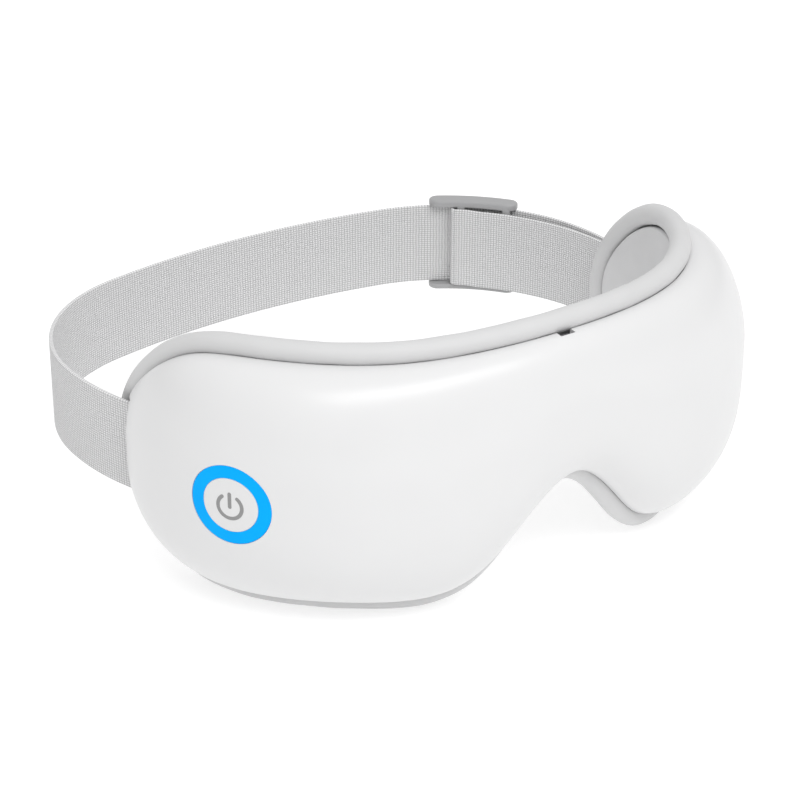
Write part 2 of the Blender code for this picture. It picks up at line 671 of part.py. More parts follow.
def build_vibration_motors(motor_metal, brass):
    for side, mark in ((-1, "left"), (1, "right")):
        shaft = seat(side * 29.0, 70.7, 7.2) @ Matrix.Rotation(side * pi / 2, 4, "Y")
        profile = ((3.0, -5.5), (3.0, 5.5), (0.5, 5.5), (0.5, 10.0))
        turned(f"vibration_motor_{mark}", shaft, profile, motor_metal, 16)
        weight = turned(f"vibration_weight_{mark}", shaft, ((2.9, 6.1), (2.9, 9.6)), brass, 20)
        cut(weight, turned(f"weight_bore_{mark}", shaft, ((0.8, 5.8), (0.8, 9.9)), None, 12))
        cut(weight, block(f"weight_relief_{mark}", shaft, (0.9, -4.0, 5.8), (4.0, 4.0, 9.9), None))


def build_speaker(black):
    axis = seat(0.0, 59.0, 0) @ Matrix.Rotation(pi / 2, 4, "X")
    turned("speaker", axis, ((9.0, 3.1), (9.0, 5.0), (6.5, 5.0), (6.5, 7.4)), black, 24)


def build_socket(steel, black):
    place = seat(NOTCH_U, 0, SOCKET_OUT)
    reach_x, reach_y, reach_z = SOCKET_SIZE
    half_x, half_y = reach_x / 2, reach_y / 2
    top, foot = SOCKET_TOP, SOCKET_TOP - reach_z
    socket = block("charge_socket", place, (-half_x, -half_y, foot), (half_x, half_y, top), steel)
    low, high = (-half_x + 0.3, -half_y + 0.3, top - 5.2), (half_x - 0.3, half_y - 0.3, top + 1.0)
    cut(socket, block("socket_hollow", place, low, high, None))
    block("socket_tongue", place, (-2.0, -0.35, top - 4.9), (2.0, 0.35, top - 0.8), black)
    block("socket_board", place, (-8.0, -1.6, foot - 1.6), (8.0, 1.6, foot - 0.4), black)


def unrolled_run(points, step=6):
    """World points along a smooth run through unrolled (u, z, out) points."""
    run = []
    padded = [points[0], *points, points[-1]]
    for i in range(len(points) - 1):
        p0, p1, p2, p3 = (Vector(p) for p in padded[i:i + 4])
        for k in range(step):
            t = k / step
            mid = 0.5 * ((2 * p1) + (p2 - p0) * t + (2 * p0 - 5 * p1 + 4 * p2 - p3) * t * t
                         + (3 * p1 - p0 - 3 * p2 + p3) * t**3)
            run.append(wrap(*mid))
    run.append(wrap(*points[-1]))
    return run


def build_air_tubes(clear):
    to_right = [(66.0, 70.0, 11.0), (60.0, 71.0, 11.0), (52.0, 66.0, 11.4), (42.0, 60.0, 10.8)]
    to_left = [(-54.0, 52.0, 9.5), (-48.0, 52.0, 11.0), (-40.0, 54.0, 11.4), (-33.0, 56.0, 11.0)]
    tube("air_tube_right", unrolled_run(to_right), 1.3, clear)
    tube("air_tube_left", unrolled_run(to_left), 1.3, clear)


# ---------------------------------------------------------------- strap

def strap_line(sign, step=STRAP_STEP):
    """(distance, x, y, heading) along the strap from the back centre to one lobe."""
    line = [(0.0, 0.0, STRAP_BACK_Y, 0.0)]
    gone, x, y, turn = line[0]
    pieces = ((BACK_ARC, BACK_RADIUS), (CORNER_ARC, CORNER_RADIUS), (SIDE_ARC, SIDE_RADIUS),
              (MOUTH_ARC, MOUTH_RADIUS), (STRAP_TAIL, 1e9))
    for length, radius in pieces:
        count = max(2, round(length / step))
        for _ in range(count):
            part = length / count
            middle = turn - part / radius / 2
            x += part * cos(middle)
            y += part * sin(middle)
            turn -= part / radius
            gone += part
            line.append((gone, x, y, turn))
    return [(s, sign * px, py, sign, t) for s, px, py, t in line]


def strap_point(entry, z, shift):
    """World point of the strap's line moved outwards by `shift`."""
    _, x, y, sign, turn = entry
    return Vector((x - sign * sin(turn) * shift, y + cos(turn) * shift, z))


RIBBON_CORNERS = ((STRAP_BOTTOM, -1), (STRAP_BOTTOM, 1), (STRAP_TOP, 1), (STRAP_TOP, -1))


def ribbon_loops(line, shift_at, drop_at=lambda s: 0.0):
    half = STRAP_THICKNESS / 2
    loops = []
    for entry in line:
        shift, drop = shift_at(entry[0]), drop_at(entry[0])
        loops.append([strap_point(entry, z - drop, shift + side * half) for z, side in RIBBON_CORNERS])
    return loops


SWING_Y = wrap(PIN_U, 0, 5.9).y


def corner_centre():
    """Centre of the strap's corner arc on the +X side, which the slider turns about."""
    turn = BACK_ARC / BACK_RADIUS
    x = BACK_RADIUS * sin(turn)
    y = STRAP_BACK_Y - BACK_RADIUS * (1 - cos(turn))
    return Vector((x - CORNER_RADIUS * sin(turn), y - CORNER_RADIUS * cos(turn), 0))


def build_strap(webbing):
    left = strap_line(-1)[::-1]
    right = strap_line(1)[1:]
    origin = (0.0, SWING_Y, STRAP_MIDDLE)
    strap = stack_solid("strap", ribbon_loops(left + right, lambda s: 0.0), webbing, origin)
    for side, mark in ((-1, "left"), (1, "right")):
        cut(strap, pin_cutter(f"strap_eyelet_{mark}", side, 2.3))
    return strap


def pin_frame(side):
    """Frame on the strap's swing axis, Z pointing away from the head."""
    x = abs(wrap(PIN_U, 0, 0).x)
    return Matrix.Translation((side * x, SWING_Y, STRAP_MIDDLE)) @ Matrix.Rotation(side * pi / 2, 4, "Y")


def pin_cutter(name, side, radius):
    return turned(name, pin_frame(side), ((radius, -6.0), (radius, 14.0)), None, 16)


def return_start():
    """Distance along the strap at which the sewn return wraps the slider's centre bar."""
    return BACK_ARC + (SLIDER_ANGLE - BACK_ARC / BACK_RADIUS) * CORNER_RADIUS


def eased(way):
    way = min(max(way, 0.0), 1.0)
    return way * way * (3 - 2 * way)


def build_strap_return(webbing):
    """Second layer: sewn round the slider's centre bar, then back to the right lobe."""
    wrap_at = return_start() - 5.5
    line = [entry for entry in strap_line(1, 2.0) if wrap_at <= entry[0] <= 176.5]
    near, far = CORNER_RADIUS - BAR_RADIUS + BAR_THICKNESS / 2 + LAYER_GAP + STRAP_THICKNESS / 2, 1.6

    def shift(s):
        return -(near + (far - near) * eased((s - wrap_at - 24.0) / 60.0))

    def drop(s):
        return RETURN_DROP * (eased((s - wrap_at - 3.0) / 8.0) - 0.6 * eased((s - wrap_at - 30.0) / 50.0))

    inner = ribbon_loops(line, shift, drop)
    half = STRAP_THICKNESS / 2
    bar_line = CORNER_RADIUS - BAR_RADIUS
    fold = []
    radius = BAR_THICKNESS / 2 + LAYER_GAP + half
    start = line[0]
    tangent = Vector((start[3] * cos(start[4]), sin(start[4]), 0))
    for k in range(1, 6):
        turn = pi * k / 6
        outward = -bar_line - radius * cos(turn)
        back = radius * sin(turn)
        lower = []
        for z, side in RIBBON_CORNERS:
            point = strap_point(start, z, outward + side * half * cos(turn))
            lower.append(point - tangent * (back - side * half * sin(turn)))
        fold.append(lower)
    tail = [entry for entry in line if entry[0] <= wrap_at + 6.0]
    leg = ribbon_loops(tail, lambda s: -bar_line + radius)
    leg = [[loop[1], loop[0], loop[3], loop[2]] for loop in leg]
    loops = leg[::-1] + fold[::-1] + inner
    return stack_solid("strap_return", loops, webbing, (0.0, SWING_Y, STRAP_MIDDLE))


def polar(centre, radius, angle, z):
    """Point at an angle measured from +Y towards +X about the corner's centre."""
    return Vector((centre.x + radius * sin(angle), centre.y + radius * cos(angle), z))


def slider_bar(name, centre, radius, along, surface, low, high):
    """Upright bar of the slider, `along` millimetres towards the lobe from its middle."""
    loops = []
    for z in (low, high):
        loop = []
        for r, s in ((-1, -1), (1, -1), (1, 1), (-1, 1)):
            angle = SLIDER_ANGLE + (along + s * BAR_WIDTH / 2) / CORNER_RADIUS
            loop.append(polar(centre, radius + r * BAR_THICKNESS / 2, angle, z))
        loops.append(loop)
    return stack_solid(name, loops, surface)


def rail_loop(centre, z, shrink):
    """Stadium-shaped plan of a rail, bent along the corner arc."""
    middle = (RAIL_INNER + RAIL_OUTER) / 2
    half_depth = (RAIL_OUTER - RAIL_INNER) / 2 - shrink
    half_length = SLIDER_LENGTH / 2 - shrink
    loop = []
    for k in range(9):
        turn = -pi / 2 + pi * k / 8
        loop.append((half_length - half_depth + half_depth * cos(turn), half_depth * sin(turn)))
    straight = half_length - half_depth
    loop += [(straight * (1 - k / 4), half_depth) for k in range(1, 8)]
    loop += [(-s, -r) for s, r in loop]
    return [polar(centre, middle + r, SLIDER_ANGLE + (s + SLIDER_SHIFT) / CORNER_RADIUS, z) for s, r in loop]


def build_slider(grey):
    centre = corner_centre()
    top, bottom = STRAP_TOP + RAIL_GAP, STRAP_BOTTOM - RAIL_GAP

    def rail_levels(start, size, way):
        steps = ((0.0, 0.5), (0.5, 0.0), (size - 0.6, 0.0), (size, 0.7))
        return [rail_loop(centre, start + way * rise, shrink) for rise, shrink in steps]

    slider = stack_solid("slider", rail_levels(top, RAIL_HEIGHT, 1), grey, tuple(centre))
    low = rail_levels(bottom, LOW_RAIL_HEIGHT, -1)
    cut(slider, stack_solid("slider_low_rail", low, None), "UNION")
    bars = (("slider_left_bar", OUTER_BAR_RADIUS, -12.6), ("slider_centre_bar", BAR_RADIUS, -3.4),
            ("slider_right_bar", BAR_RADIUS, 14.6))
    for name, radius, along in bars:
        cut(slider, slider_bar(name, centre, radius, along, None, bottom - 1.0, top + 1.0), "UNION")
    return slider


def build_strap_pins(steel):
    """Rivets that the strap ends turn on."""
    profile = ((3.6, 3.4), (3.6, 4.6), (1.9, 4.6), (1.9, 9.4), (3.4, 9.4), (3.4, 10.4))
    for side, mark in ((-1, "left"), (1, "right")):
        turned(f"pivot_pin_{mark}", pin_frame(side), profile, steel, 18)


def build_tabs(plastic):
    """Plastic tabs sewn to the strap's ends, outside the webbing, with the pivot holes."""
    for side, mark in ((-1, "left"), (1, "right")):
        line = [e for e in strap_line(side, 2.0) if 180.0 <= e[0]]
        inner = STRAP_THICKNESS / 2 + LAYER_GAP
        loops = []
        for entry in line:
            loops.append([strap_point(entry, z, d) for z, d in
                          ((STRAP_BOTTOM + 4, inner), (STRAP_BOTTOM + 4, inner + 1.3),
                           (STRAP_TOP - 4, inner + 1.3), (STRAP_TOP - 4, inner))])
        tab = stack_solid(f"strap_tab_{mark}", loops, plastic, (0.0, SWING_Y, STRAP_MIDDLE))
        cut(tab, pin_cutter(f"tab_eyelet_{mark}", side, 2.3))


def build_all():
    clear_scene()
    white = material("shell_white", (0.86, 0.86, 0.87), 0.18)
    cap_white = material("button_white", (0.86, 0.86, 0.87), 0.25)
    roll_grey = material("roll_grey", (0.62, 0.62, 0.63), 0.55)
    panel_grey = material("panel_grey", (0.5, 0.5, 0.51), 0.75)
    frame_grey = material("frame_grey", (0.3, 0.3, 0.31), 0.5)
    blue = material("ring_blue", (0.0, 0.4, 0.93), 0.3)
    mark_grey = material("mark_grey", (0.3, 0.3, 0.3), 0.5)
    webbing = material("webbing_grey", (0.58, 0.58, 0.59), 0.9)
    slider_grey = material("slider_grey", (0.5, 0.5, 0.51), 0.4)
    steel = material("steel", (0.62, 0.62, 0.64), 0.3, 1.0)
    brass = material("brass", (0.7, 0.52, 0.25), 0.3, 1.0)
    board = material("board_green", (0.03, 0.2, 0.09), 0.5)
    black = material("black_plastic", (0.03, 0.03, 0.03), 0.5)
    housing = material("housing_ivory", (0.7, 0.68, 0.6), 0.5)
    film = material("film_amber", (0.5, 0.25, 0.05), 0.4)
    rubber = material("rubber_clear", (0.7, 0.72, 0.74), 0.4)
    wrapper = material("battery_blue", (0.08, 0.16, 0.35), 0.4)

    button = ring_frame()
    build_shell(white, button)
    build_frame(frame_grey)
    build_roll(roll_grey)
    build_panel(panel_grey)
    build_screws(steel)
    build_eye_modules(panel_grey, film, rubber)
    build_power_button(button, blue, cap_white, mark_grey, rubber)
    build_button_board(button, board, black)
    build_main_board(board)
    build_battery(wrapper)
    build_pump(steel, housing, brass)
    build_valve(housing, steel)
    build_vibration_motors(steel, brass)
    build_speaker(black)
    build_socket(steel, black)
    build_air_tubes(rubber)
    build_strap(webbing)
    build_strap_return(webbing)
    build_slider(slider_grey)
    build_strap_pins(steel)
    build_tabs(black)


build_all()
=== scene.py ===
"""Fine surfaces, materials, light and camera for the eye massager mask.

World axes: +Z up, the mask's front faces -Y, +X is to the viewer's right.
Unrolled coordinates are millimetres: u along the plan curve of the soft roll (0 at the
nose), z the height, and "out" the distance from that curve towards the front.
"""

from math import cos, hypot, pi, radians, sin

import bmesh
import bpy
import numpy as np
from mathutils import Matrix, Vector, kdtree


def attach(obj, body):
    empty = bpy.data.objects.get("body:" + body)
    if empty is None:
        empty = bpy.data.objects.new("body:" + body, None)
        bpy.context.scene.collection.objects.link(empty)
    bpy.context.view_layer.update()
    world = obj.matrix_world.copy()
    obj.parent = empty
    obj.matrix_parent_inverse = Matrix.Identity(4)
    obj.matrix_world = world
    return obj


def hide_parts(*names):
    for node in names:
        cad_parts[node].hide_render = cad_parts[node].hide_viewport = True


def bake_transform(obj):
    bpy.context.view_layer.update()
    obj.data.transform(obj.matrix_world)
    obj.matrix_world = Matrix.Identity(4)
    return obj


MM = 0.001

# plan curve of the mask
FRONT_Y = -82.0
RADII = (120.0, 75.0, 180.0)
REACHES = (48.0, 113.0)
EASING, PLAN_END, PLAN_STEP = 5.0, 180.0, 0.25

# outline of the roll's centre line, right half
OUTLINE = (
    (0.0, 85.8), (50.0, 84.3), (95.0, 83.8), (114.5, 81.2), (137.0, 67.8), (150.0, 45.8),
    (144.0, 23.8), (124.0, 6.8), (95.0, 3.3), (65.0, 3.5), (36.0, 6.4), (22.0, 18.8), (0.0, 36.1),
)
OUTLINE_SAMPLES = 2880

# front shell
SHELL_INSET, SHELL_OUT, WALL = 2.0, 3.2, 1.8
EDGE_LAP, NOSE_LAP, LAP_RISE, LAP_FADE = 0.6, 0.9, 0.4, 8.0
EDGE_LAP_SPAN, NOSE_LAP_SPAN = (95.0, 30.0), (22.0, 16.0)
DOME_AT_NOSE, DOME_GROWTH, DOME_BLEND = 10.8, 0.19, 14.0
DOME_END_POWER, DOME_END_ROUND = 2.5, 0.79
CROWN_SHARE, CROWN_SOFTNESS = 0.59, 0.1
ARCH_TOP, ARCH_BOTTOM = (1.38, 2.64), (3.43, 1.62)
COLUMNS_PER_SIDE, COLUMN_CROWDING = 130, 1.9
SHELL_ROWS, SHELL_ROW_POWER = (12, 40), 2.4
# from the back face's edge, over the rolled rim, to the front face's edge: (inset, out)
SHELL_RIMS = (
    (SHELL_INSET + WALL, SHELL_OUT + 0.1), (SHELL_INSET + WALL, 3.05), (2.3, 3.03), (2.08, 3.1),
    (SHELL_INSET, SHELL_OUT + 0.05),
)

# soft parts
ROLL_RADIUS, ROLL_SLACK, ROLL_LOOPS, ROLL_SIDES = 3.6, 0.05, 480, 28
# slight unevenness of filled soft skin: (height, waves round the roll, phase)
ROLL_RIPPLES = ((0.035, 31, 0.4), (0.03, 53, 2.1))
PANEL_RIMS = ((4.75, -2.3), (4.4, -2.12), (4.18, -1.8), (4.1, -1.4), (4.1, -0.6), (4.25, -0.3), (4.5, -0.2))
PANEL_CROWN, PANEL_CROWN_RUN = 0.35, 6.0
PANEL_ROWS, PANEL_ROW_POWER = (26, 14), 1.5
EYE_U, EYE_Z, EYE_RU, EYE_RZ, EYE_GAP = 33.0, 52.4, 21.0, 15.0, 0.8
PAD_MARGIN, PAD_HALF, PAD_SIDES, PAD_RINGS = 0.9, 1.45, 96, 15
PAD_BACK, PAD_FRONT, PAD_MIDDLE = 2.45, 2.85, -1.15
CORD_MARGIN, CORD_OUT, CORD_RADIUS, CORD_STITCHES = 0.75, -1.5, 0.72, 80
SIM_SCALE, SIM_FRAMES, PAD_SWELL = 10.0, 20, 1.1

# power button
RING_U, RING_Z = -95.5, 42.8
RING_RADIUS, RING_BORE, RING_CLEARANCE, RING_FLATTEN = 13.0, 9.2, 0.3, 0.955
MARK_DROP, MARK_RADIUS, MARK_HALF, MARK_GAP = 0.47, 3.96, 0.6, 30.0
MARK_BAR_LOW, MARK_BAR_HIGH = -1.15, 4.43
MARK_DEPTHS = (0.02, 0.45)
RING_DEPTH, CAP_DEPTH, BUTTON_SIDES = 2.6, 3.8, 144
SKIN_DEPTH, EDGE_ROUND = 0.05, 0.05

# strap
STRAP_MIDDLE, STRAP_HALF_HEIGHT = 40.8, 15.0
STRAP_TOP, STRAP_BOTTOM = STRAP_MIDDLE + STRAP_HALF_HEIGHT, STRAP_MIDDLE - STRAP_HALF_HEIGHT
STRAP_THICKNESS, STRAP_HALF, RETURN_HALF = 1.2, 0.68, 0.62
STRAP_BACK_Y = 95.6
BACK_ARC, BACK_RADIUS = 57.0, 257.0
CORNER_ARC, CORNER_RADIUS = 77.0, 62.0
SIDE_ARC, SIDE_RADIUS = 36.0, 92.0
MOUTH_ARC, MOUTH_RADIUS = 8.0, -50.0
STRAP_TAIL = 12.0
PIN_U, PIN_OUT, EYELET_RADIUS = 129.0, 5.9, 2.3
SLOT_U, SLOT_MARGIN, SLOT_ACROSS, SLOT_DEPTH = 137.0, 2.5, (90.0, 125.0), 30.0

# slider
SLIDER_LENGTH, SLIDER_SHIFT, SLIDER_ANGLE = 33.4, 1.2, radians(45.0)
RAIL_HEIGHT, LOW_RAIL_HEIGHT, RAIL_GAP = 2.6, 2.0, 0.25
RAIL_INNER, RAIL_OUTER = 58.0, 64.95
BAR_THICKNESS, BAR_WIDTH, BAR_CORNER, BAR_OVERLAP = 1.6, 3.0, 0.45, 1.0
LAYER_GAP, RETURN_DROP = 0.3, 0.5
RETURN_BEFORE, RETURN_END, RETURN_TAIL, RETURN_FAR = 5.5, 176.5, 6.0, 1.6
BAR_RADIUS = CORNER_RADIUS - STRAP_THICKNESS * 1.5 - 2 * LAYER_GAP - BAR_THICKNESS / 2
OUTER_BAR_RADIUS = CORNER_RADIUS + STRAP_THICKNESS / 2 + LAYER_GAP + BAR_THICKNESS / 2
BARS = ((OUTER_BAR_RADIUS, -12.6), (BAR_RADIUS, -3.4), (BAR_RADIUS, 14.6))

# brow notch and socket
NOTCH_U, NOTCH_WIDTH, NOTCH_FLOOR, NOTCH_OUT = -2.7, 5.4, 81.4, 5.6
MOUTH_HALVES, MOUTH_OUT = (2.6, 1.1), 4.5
MOUTH_LOW, ABOVE_SHELL = 70.0, 90.0

# view and light, in metres and watts
LENS, SENSOR = 105.75, 36.0
CAMERA_PLACE, CAMERA_AIM = (-0.4221, -0.5686, 0.3628), (0.5390, 0.7258, -0.4274)
LIGHT_PLACE, LIGHT_TARGET, LIGHT_SIZE, LIGHT_POWER = (-0.16, -0.72, 0.95), (0.0, 0.0, 0.03), (1.1, 0.4), 6.0

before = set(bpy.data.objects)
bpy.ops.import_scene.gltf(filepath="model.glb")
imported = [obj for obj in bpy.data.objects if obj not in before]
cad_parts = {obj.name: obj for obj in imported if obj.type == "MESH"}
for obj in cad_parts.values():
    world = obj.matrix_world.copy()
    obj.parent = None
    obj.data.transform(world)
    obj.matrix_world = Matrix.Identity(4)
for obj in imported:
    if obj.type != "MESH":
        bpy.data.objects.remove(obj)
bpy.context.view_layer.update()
scene = bpy.context.scene


# ---- camera

def build_camera():
    data = bpy.data.cameras.new("camera")
    data.lens = LENS
    data.sensor_width = SENSOR
    data.clip_start, data.clip_end = 0.01, 50.0
    camera = bpy.data.objects.new("camera", data)
    scene.collection.objects.link(camera)
    camera.location = CAMERA_PLACE
    camera.rotation_euler = Vector(CAMERA_AIM).to_track_quat("-Z", "Y").to_euler()
    scene.camera = camera


# ---- plan curve

def ease(t):
    """Smooth step from 0 to 1."""
    t = np.clip(t, 0.0, 1.0)
    return t * t * (3 - 2 * t)


def plan_table(step=PLAN_STEP):
    """Distance, heading, x and y along the +X half of the plan curve."""
    u = np.arange(0.0, PLAN_END, step)
    bend = np.full_like(u, 1 / RADII[0])
    for reach_u, before, after in zip(REACHES, RADII, RADII[1:]):
        bend += (1 / after - 1 / before) * ease((u - reach_u + EASING) / (2 * EASING))
    turn = np.concatenate([[0.0], np.cumsum((bend[1:] + bend[:-1]) / 2 * step)])
    middle = (turn[1:] + turn[:-1]) / 2
    x = np.concatenate([[0.0], np.cumsum(np.cos(middle) * step)])
    y = FRONT_Y + np.concatenate([[0.0], np.cumsum(np.sin(middle) * step)])
    return u, turn, x, y


PLAN = plan_table()


def plan_heading(u):
    return np.copysign(np.interp(np.abs(u), PLAN[0], PLAN[1]), u)


def wrap(u, z, out):
    """World points, in millimetres, of unrolled points; arrays or numbers."""
    u, z, out = np.broadcast_arrays(*[np.asarray(value, float) for value in (u, z, out)])
    size = np.abs(u)
    turn = np.interp(size, PLAN[0], PLAN[1])
    x = np.interp(size, PLAN[0], PLAN[2]) + out * np.sin(turn)
    y = np.interp(size, PLAN[0], PLAN[3]) - out * np.cos(turn)
    return np.stack([np.copysign(x, u), y, z], axis=-1)


def unwrap(points):
    """Unrolled (u, out) of world points, found by stepping along the plan curve."""
    points = np.asarray(points, float)
    x, y = np.abs(points[:, 0]), points[:, 1]
    u = np.full(len(points), abs(RING_U))
    for _ in range(14):
        turn = np.interp(u, PLAN[0], PLAN[1])
        dx = x - np.interp(u, PLAN[0], PLAN[2])
        dy = y - np.interp(u, PLAN[0], PLAN[3])
        out = dx * np.sin(turn) - dy * np.cos(turn)
        u = u + (dx * np.cos(turn) + dy * np.sin(turn)) * RADII[1] / (RADII[1] + out)
    return np.copysign(u, points[:, 0]), out


def seat(u, z, out):
    """Frame at an unrolled point: X along the mask, Y towards the wearer, Z up."""
    place = Matrix.Translation(Vector(wrap(u, z, out)))
    return place @ Matrix.Rotation(float(plan_heading(u)), 4, "Z")


# ---- outline

def closed_curve(points, count):
    """Points of the smooth closed cubic curve through the given points."""
    pts = np.asarray(points, float)
    n = len(pts)
    chord = np.roll(pts, -1, axis=0) - pts
    span = np.hypot(chord[:, 0], chord[:, 1])
    system = np.zeros((n, n))
    for i in range(n):
        system[i, i - 1] = span[i - 1]
        system[i, i] = 2 * (span[i - 1] + span[i])
        system[i, (i + 1) % n] = span[i]
    slope = chord / span[:, None]
    bend = np.linalg.solve(system, 6 * (slope - np.roll(slope, 1, axis=0)))
    knots = np.concatenate([[0.0], np.cumsum(span)])
    t = np.linspace(0, knots[-1], count, endpoint=False)
    k = np.clip(np.searchsorted(knots, t, side="right") - 1, 0, n - 1)
    a = ((knots[k + 1] - t) / span[k])[:, None]
    b = 1 - a
    ends = a * pts[k] + b * pts[(k + 1) % n]
    bends = (a**3 - a) * bend[k] + (b**3 - b) * bend[(k + 1) % n]
    return ends + bends * span[k][:, None] ** 2 / 6


def outline_and_outward():
    """The whole outline and its outward directions, from its right half."""
    left = [(-u, z) for u, z in OUTLINE[-2:0:-1]]
    curve = closed_curve(list(OUTLINE) + left, OUTLINE_SAMPLES)
    along = np.roll(curve, -1, axis=0) - np.roll(curve, 1, axis=0)
    along /= np.hypot(along[:, 0], along[:, 1])[:, None]
    return curve, np.column_stack([-along[:, 1], along[:, 0]])


CURVE, OUTWARD = outline_and_outward()


def half_heights(inset):
    """Right half of an inset outline as (top u, top z, bottom u, bottom z)."""
    curve = (CURVE - OUTWARD * inset)[: OUTLINE_SAMPLES // 2 + 1]
    tip = int(np.argmax(curve[:, 0]))
    top, bottom = curve[: tip + 1], curve[tip:][::-1]
    return top[:, 0], top[:, 1], bottom[:, 0], bottom[:, 1]


def lower_lap(u, inset):
    """How far the shell's lower edge laps down over the roll, most at the nose."""
    if inset > SHELL_INSET + WALL:
        return 0.0 * u
    laps = ((EDGE_LAP, EDGE_LAP_SPAN), (NOSE_LAP, NOSE_LAP_SPAN))
    return sum(lap * (1 - ease((np.abs(u) - start) / run)) for lap, (start, run) in laps)


HEIGHTS = {}


def top_and_bottom(u, inset):
    """Heights of an inset outline's top and bottom at u."""
    if inset not in HEIGHTS:
        HEIGHTS[inset] = half_heights(inset)
    tu, tz, bu, bz = HEIGHTS[inset]
    return np.interp(np.abs(u), tu, tz), np.interp(np.abs(u), bu, bz) - lower_lap(u, inset)


def reach(inset):
    """The largest u of an inset outline."""
    top_and_bottom(0.0, inset)
    return float(HEIGHTS[inset][0][-1])


# ---- dome

def dome_out(u, z, wall=0.0):
    """How far out the shell's skin stands at (u, z); `wall` gives the inner skin."""
    inset = SHELL_INSET + wall
    share = np.minimum(np.abs(u) / reach(inset), 1.0)
    top, bottom = top_and_bottom(u, inset)
    crown = bottom + CROWN_SHARE * (top - bottom)
    upper = z > crown
    way = np.where(upper, (z - crown) / np.maximum(top - crown, 1e-6),
                   (crown - z) / np.maximum(crown - bottom, 1e-6))
    way = np.clip(way, 0.0, 1.0)
    full = hypot(1.0, CROWN_SOFTNESS) - CROWN_SOFTNESS
    soft = np.clip((np.hypot(way, CROWN_SOFTNESS) - CROWN_SOFTNESS) / full, 0.0, 1.0)
    arch = np.where(upper, (1 - soft ** ARCH_TOP[0]) ** (1 / ARCH_TOP[1]),
                    (1 - soft ** ARCH_BOTTOM[0]) ** (1 / ARCH_BOTTOM[1]))
    base = DOME_AT_NOSE + DOME_GROWTH * (np.hypot(u, DOME_BLEND) - DOME_BLEND)
    rise = base * (1 - share**DOME_END_POWER) ** DOME_END_ROUND - wall * (1 - share**8)
    lifted = LAP_RISE * lower_lap(u, inset) * (1 - ease((z - bottom) / LAP_FADE))
    return SHELL_OUT + lifted + rise * arch


# ---- mesh helpers

def make_piece(name, verts, faces, smooth_angle=35.0):
    """Object from millimetre vertices, in the world frame."""
    mesh = bpy.data.meshes.new(name)
    mesh.from_pydata([tuple(float(c) * MM for c in v) for v in verts], [], faces)
    work = bmesh.new()
    work.from_mesh(mesh)
    bmesh.ops.recalc_face_normals(work, faces=work.faces)
    work.to_mesh(mesh)
    work.free()
    item = bpy.data.objects.new(name, mesh)
    scene.collection.objects.link(item)
    mesh.shade_smooth()
    mesh.set_sharp_from_angle(angle=radians(smooth_angle))
    return item


def apply_modifiers(item):
    """Keep the mesh as its modifiers leave it."""
    graph = bpy.context.evaluated_depsgraph_get()
    finished = bpy.data.meshes.new_from_object(item.evaluated_get(graph))
    item.modifiers.clear()
    item.data = finished


def cut_all(target, tools, operation="DIFFERENCE"):
    for tool in tools:
        step = target.modifiers.new(tool.name, "BOOLEAN")
        step.object = tool
        step.operation = operation
        step.solver = "EXACT"
    apply_modifiers(target)
    for tool in tools:
        bpy.data.objects.remove(tool, do_unlink=True)
    target.data.shade_smooth()
    target.data.set_sharp_from_angle(angle=radians(35.0))


def stack_piece(name, loops, closed=False, smooth_angle=35.0):
    """Solid through closed loops of equal count, capped at both ends or joined round."""
    n = len(loops[0])
    verts = [v for loop in loops for v in loop]
    faces = [] if closed else [tuple(range(n)), tuple(range((len(loops) - 1) * n, len(loops) * n))]
    for j in range(len(loops) if closed else len(loops) - 1):
        a, b = j * n, ((j + 1) % len(loops)) * n
        for k in range(n):
            m = (k + 1) % n
            faces.append((a + k, a + m, b + m, b + k))
    return make_piece(name, verts, faces, smooth_angle)


def circle(radius, sides):
    turns = [2 * pi * k / sides for k in range(sides)]
    return [(radius * cos(turn), radius * sin(turn)) for turn in turns]


def turned(name, place, profile, sides=48):
    loops = [[place @ Vector((x, y, h)) for x, y in circle(r, sides)] for r, h in profile]
    return stack_piece(name, loops)


def block(name, place, low, high):
    x0, y0, z0 = low
    x1, y1, z1 = high
    plan = [(x0, y0), (x1, y0), (x1, y1), (x0, y1)]
    return stack_piece(name, [[place @ Vector((x, y, z)) for x, y in plan] for z in (z0, z1)])


# ---- lens-shaped pieces

def column_places(inset):
    """Stations along a rim, crowded towards its tips."""
    steps = np.linspace(-1, 1, 2 * COLUMNS_PER_SIDE + 1)
    return np.copysign(reach(inset) * (1 - (1 - np.abs(steps)) ** COLUMN_CROWDING), steps)


def rim_loop(inset):
    """Unrolled (u, z) of a rim: along the top from the left tip, back along the bottom."""
    u = column_places(inset)
    top, bottom = top_and_bottom(u, inset)
    bottom[0] = top[0]
    bottom[-1] = top[-1]
    return u, top, bottom


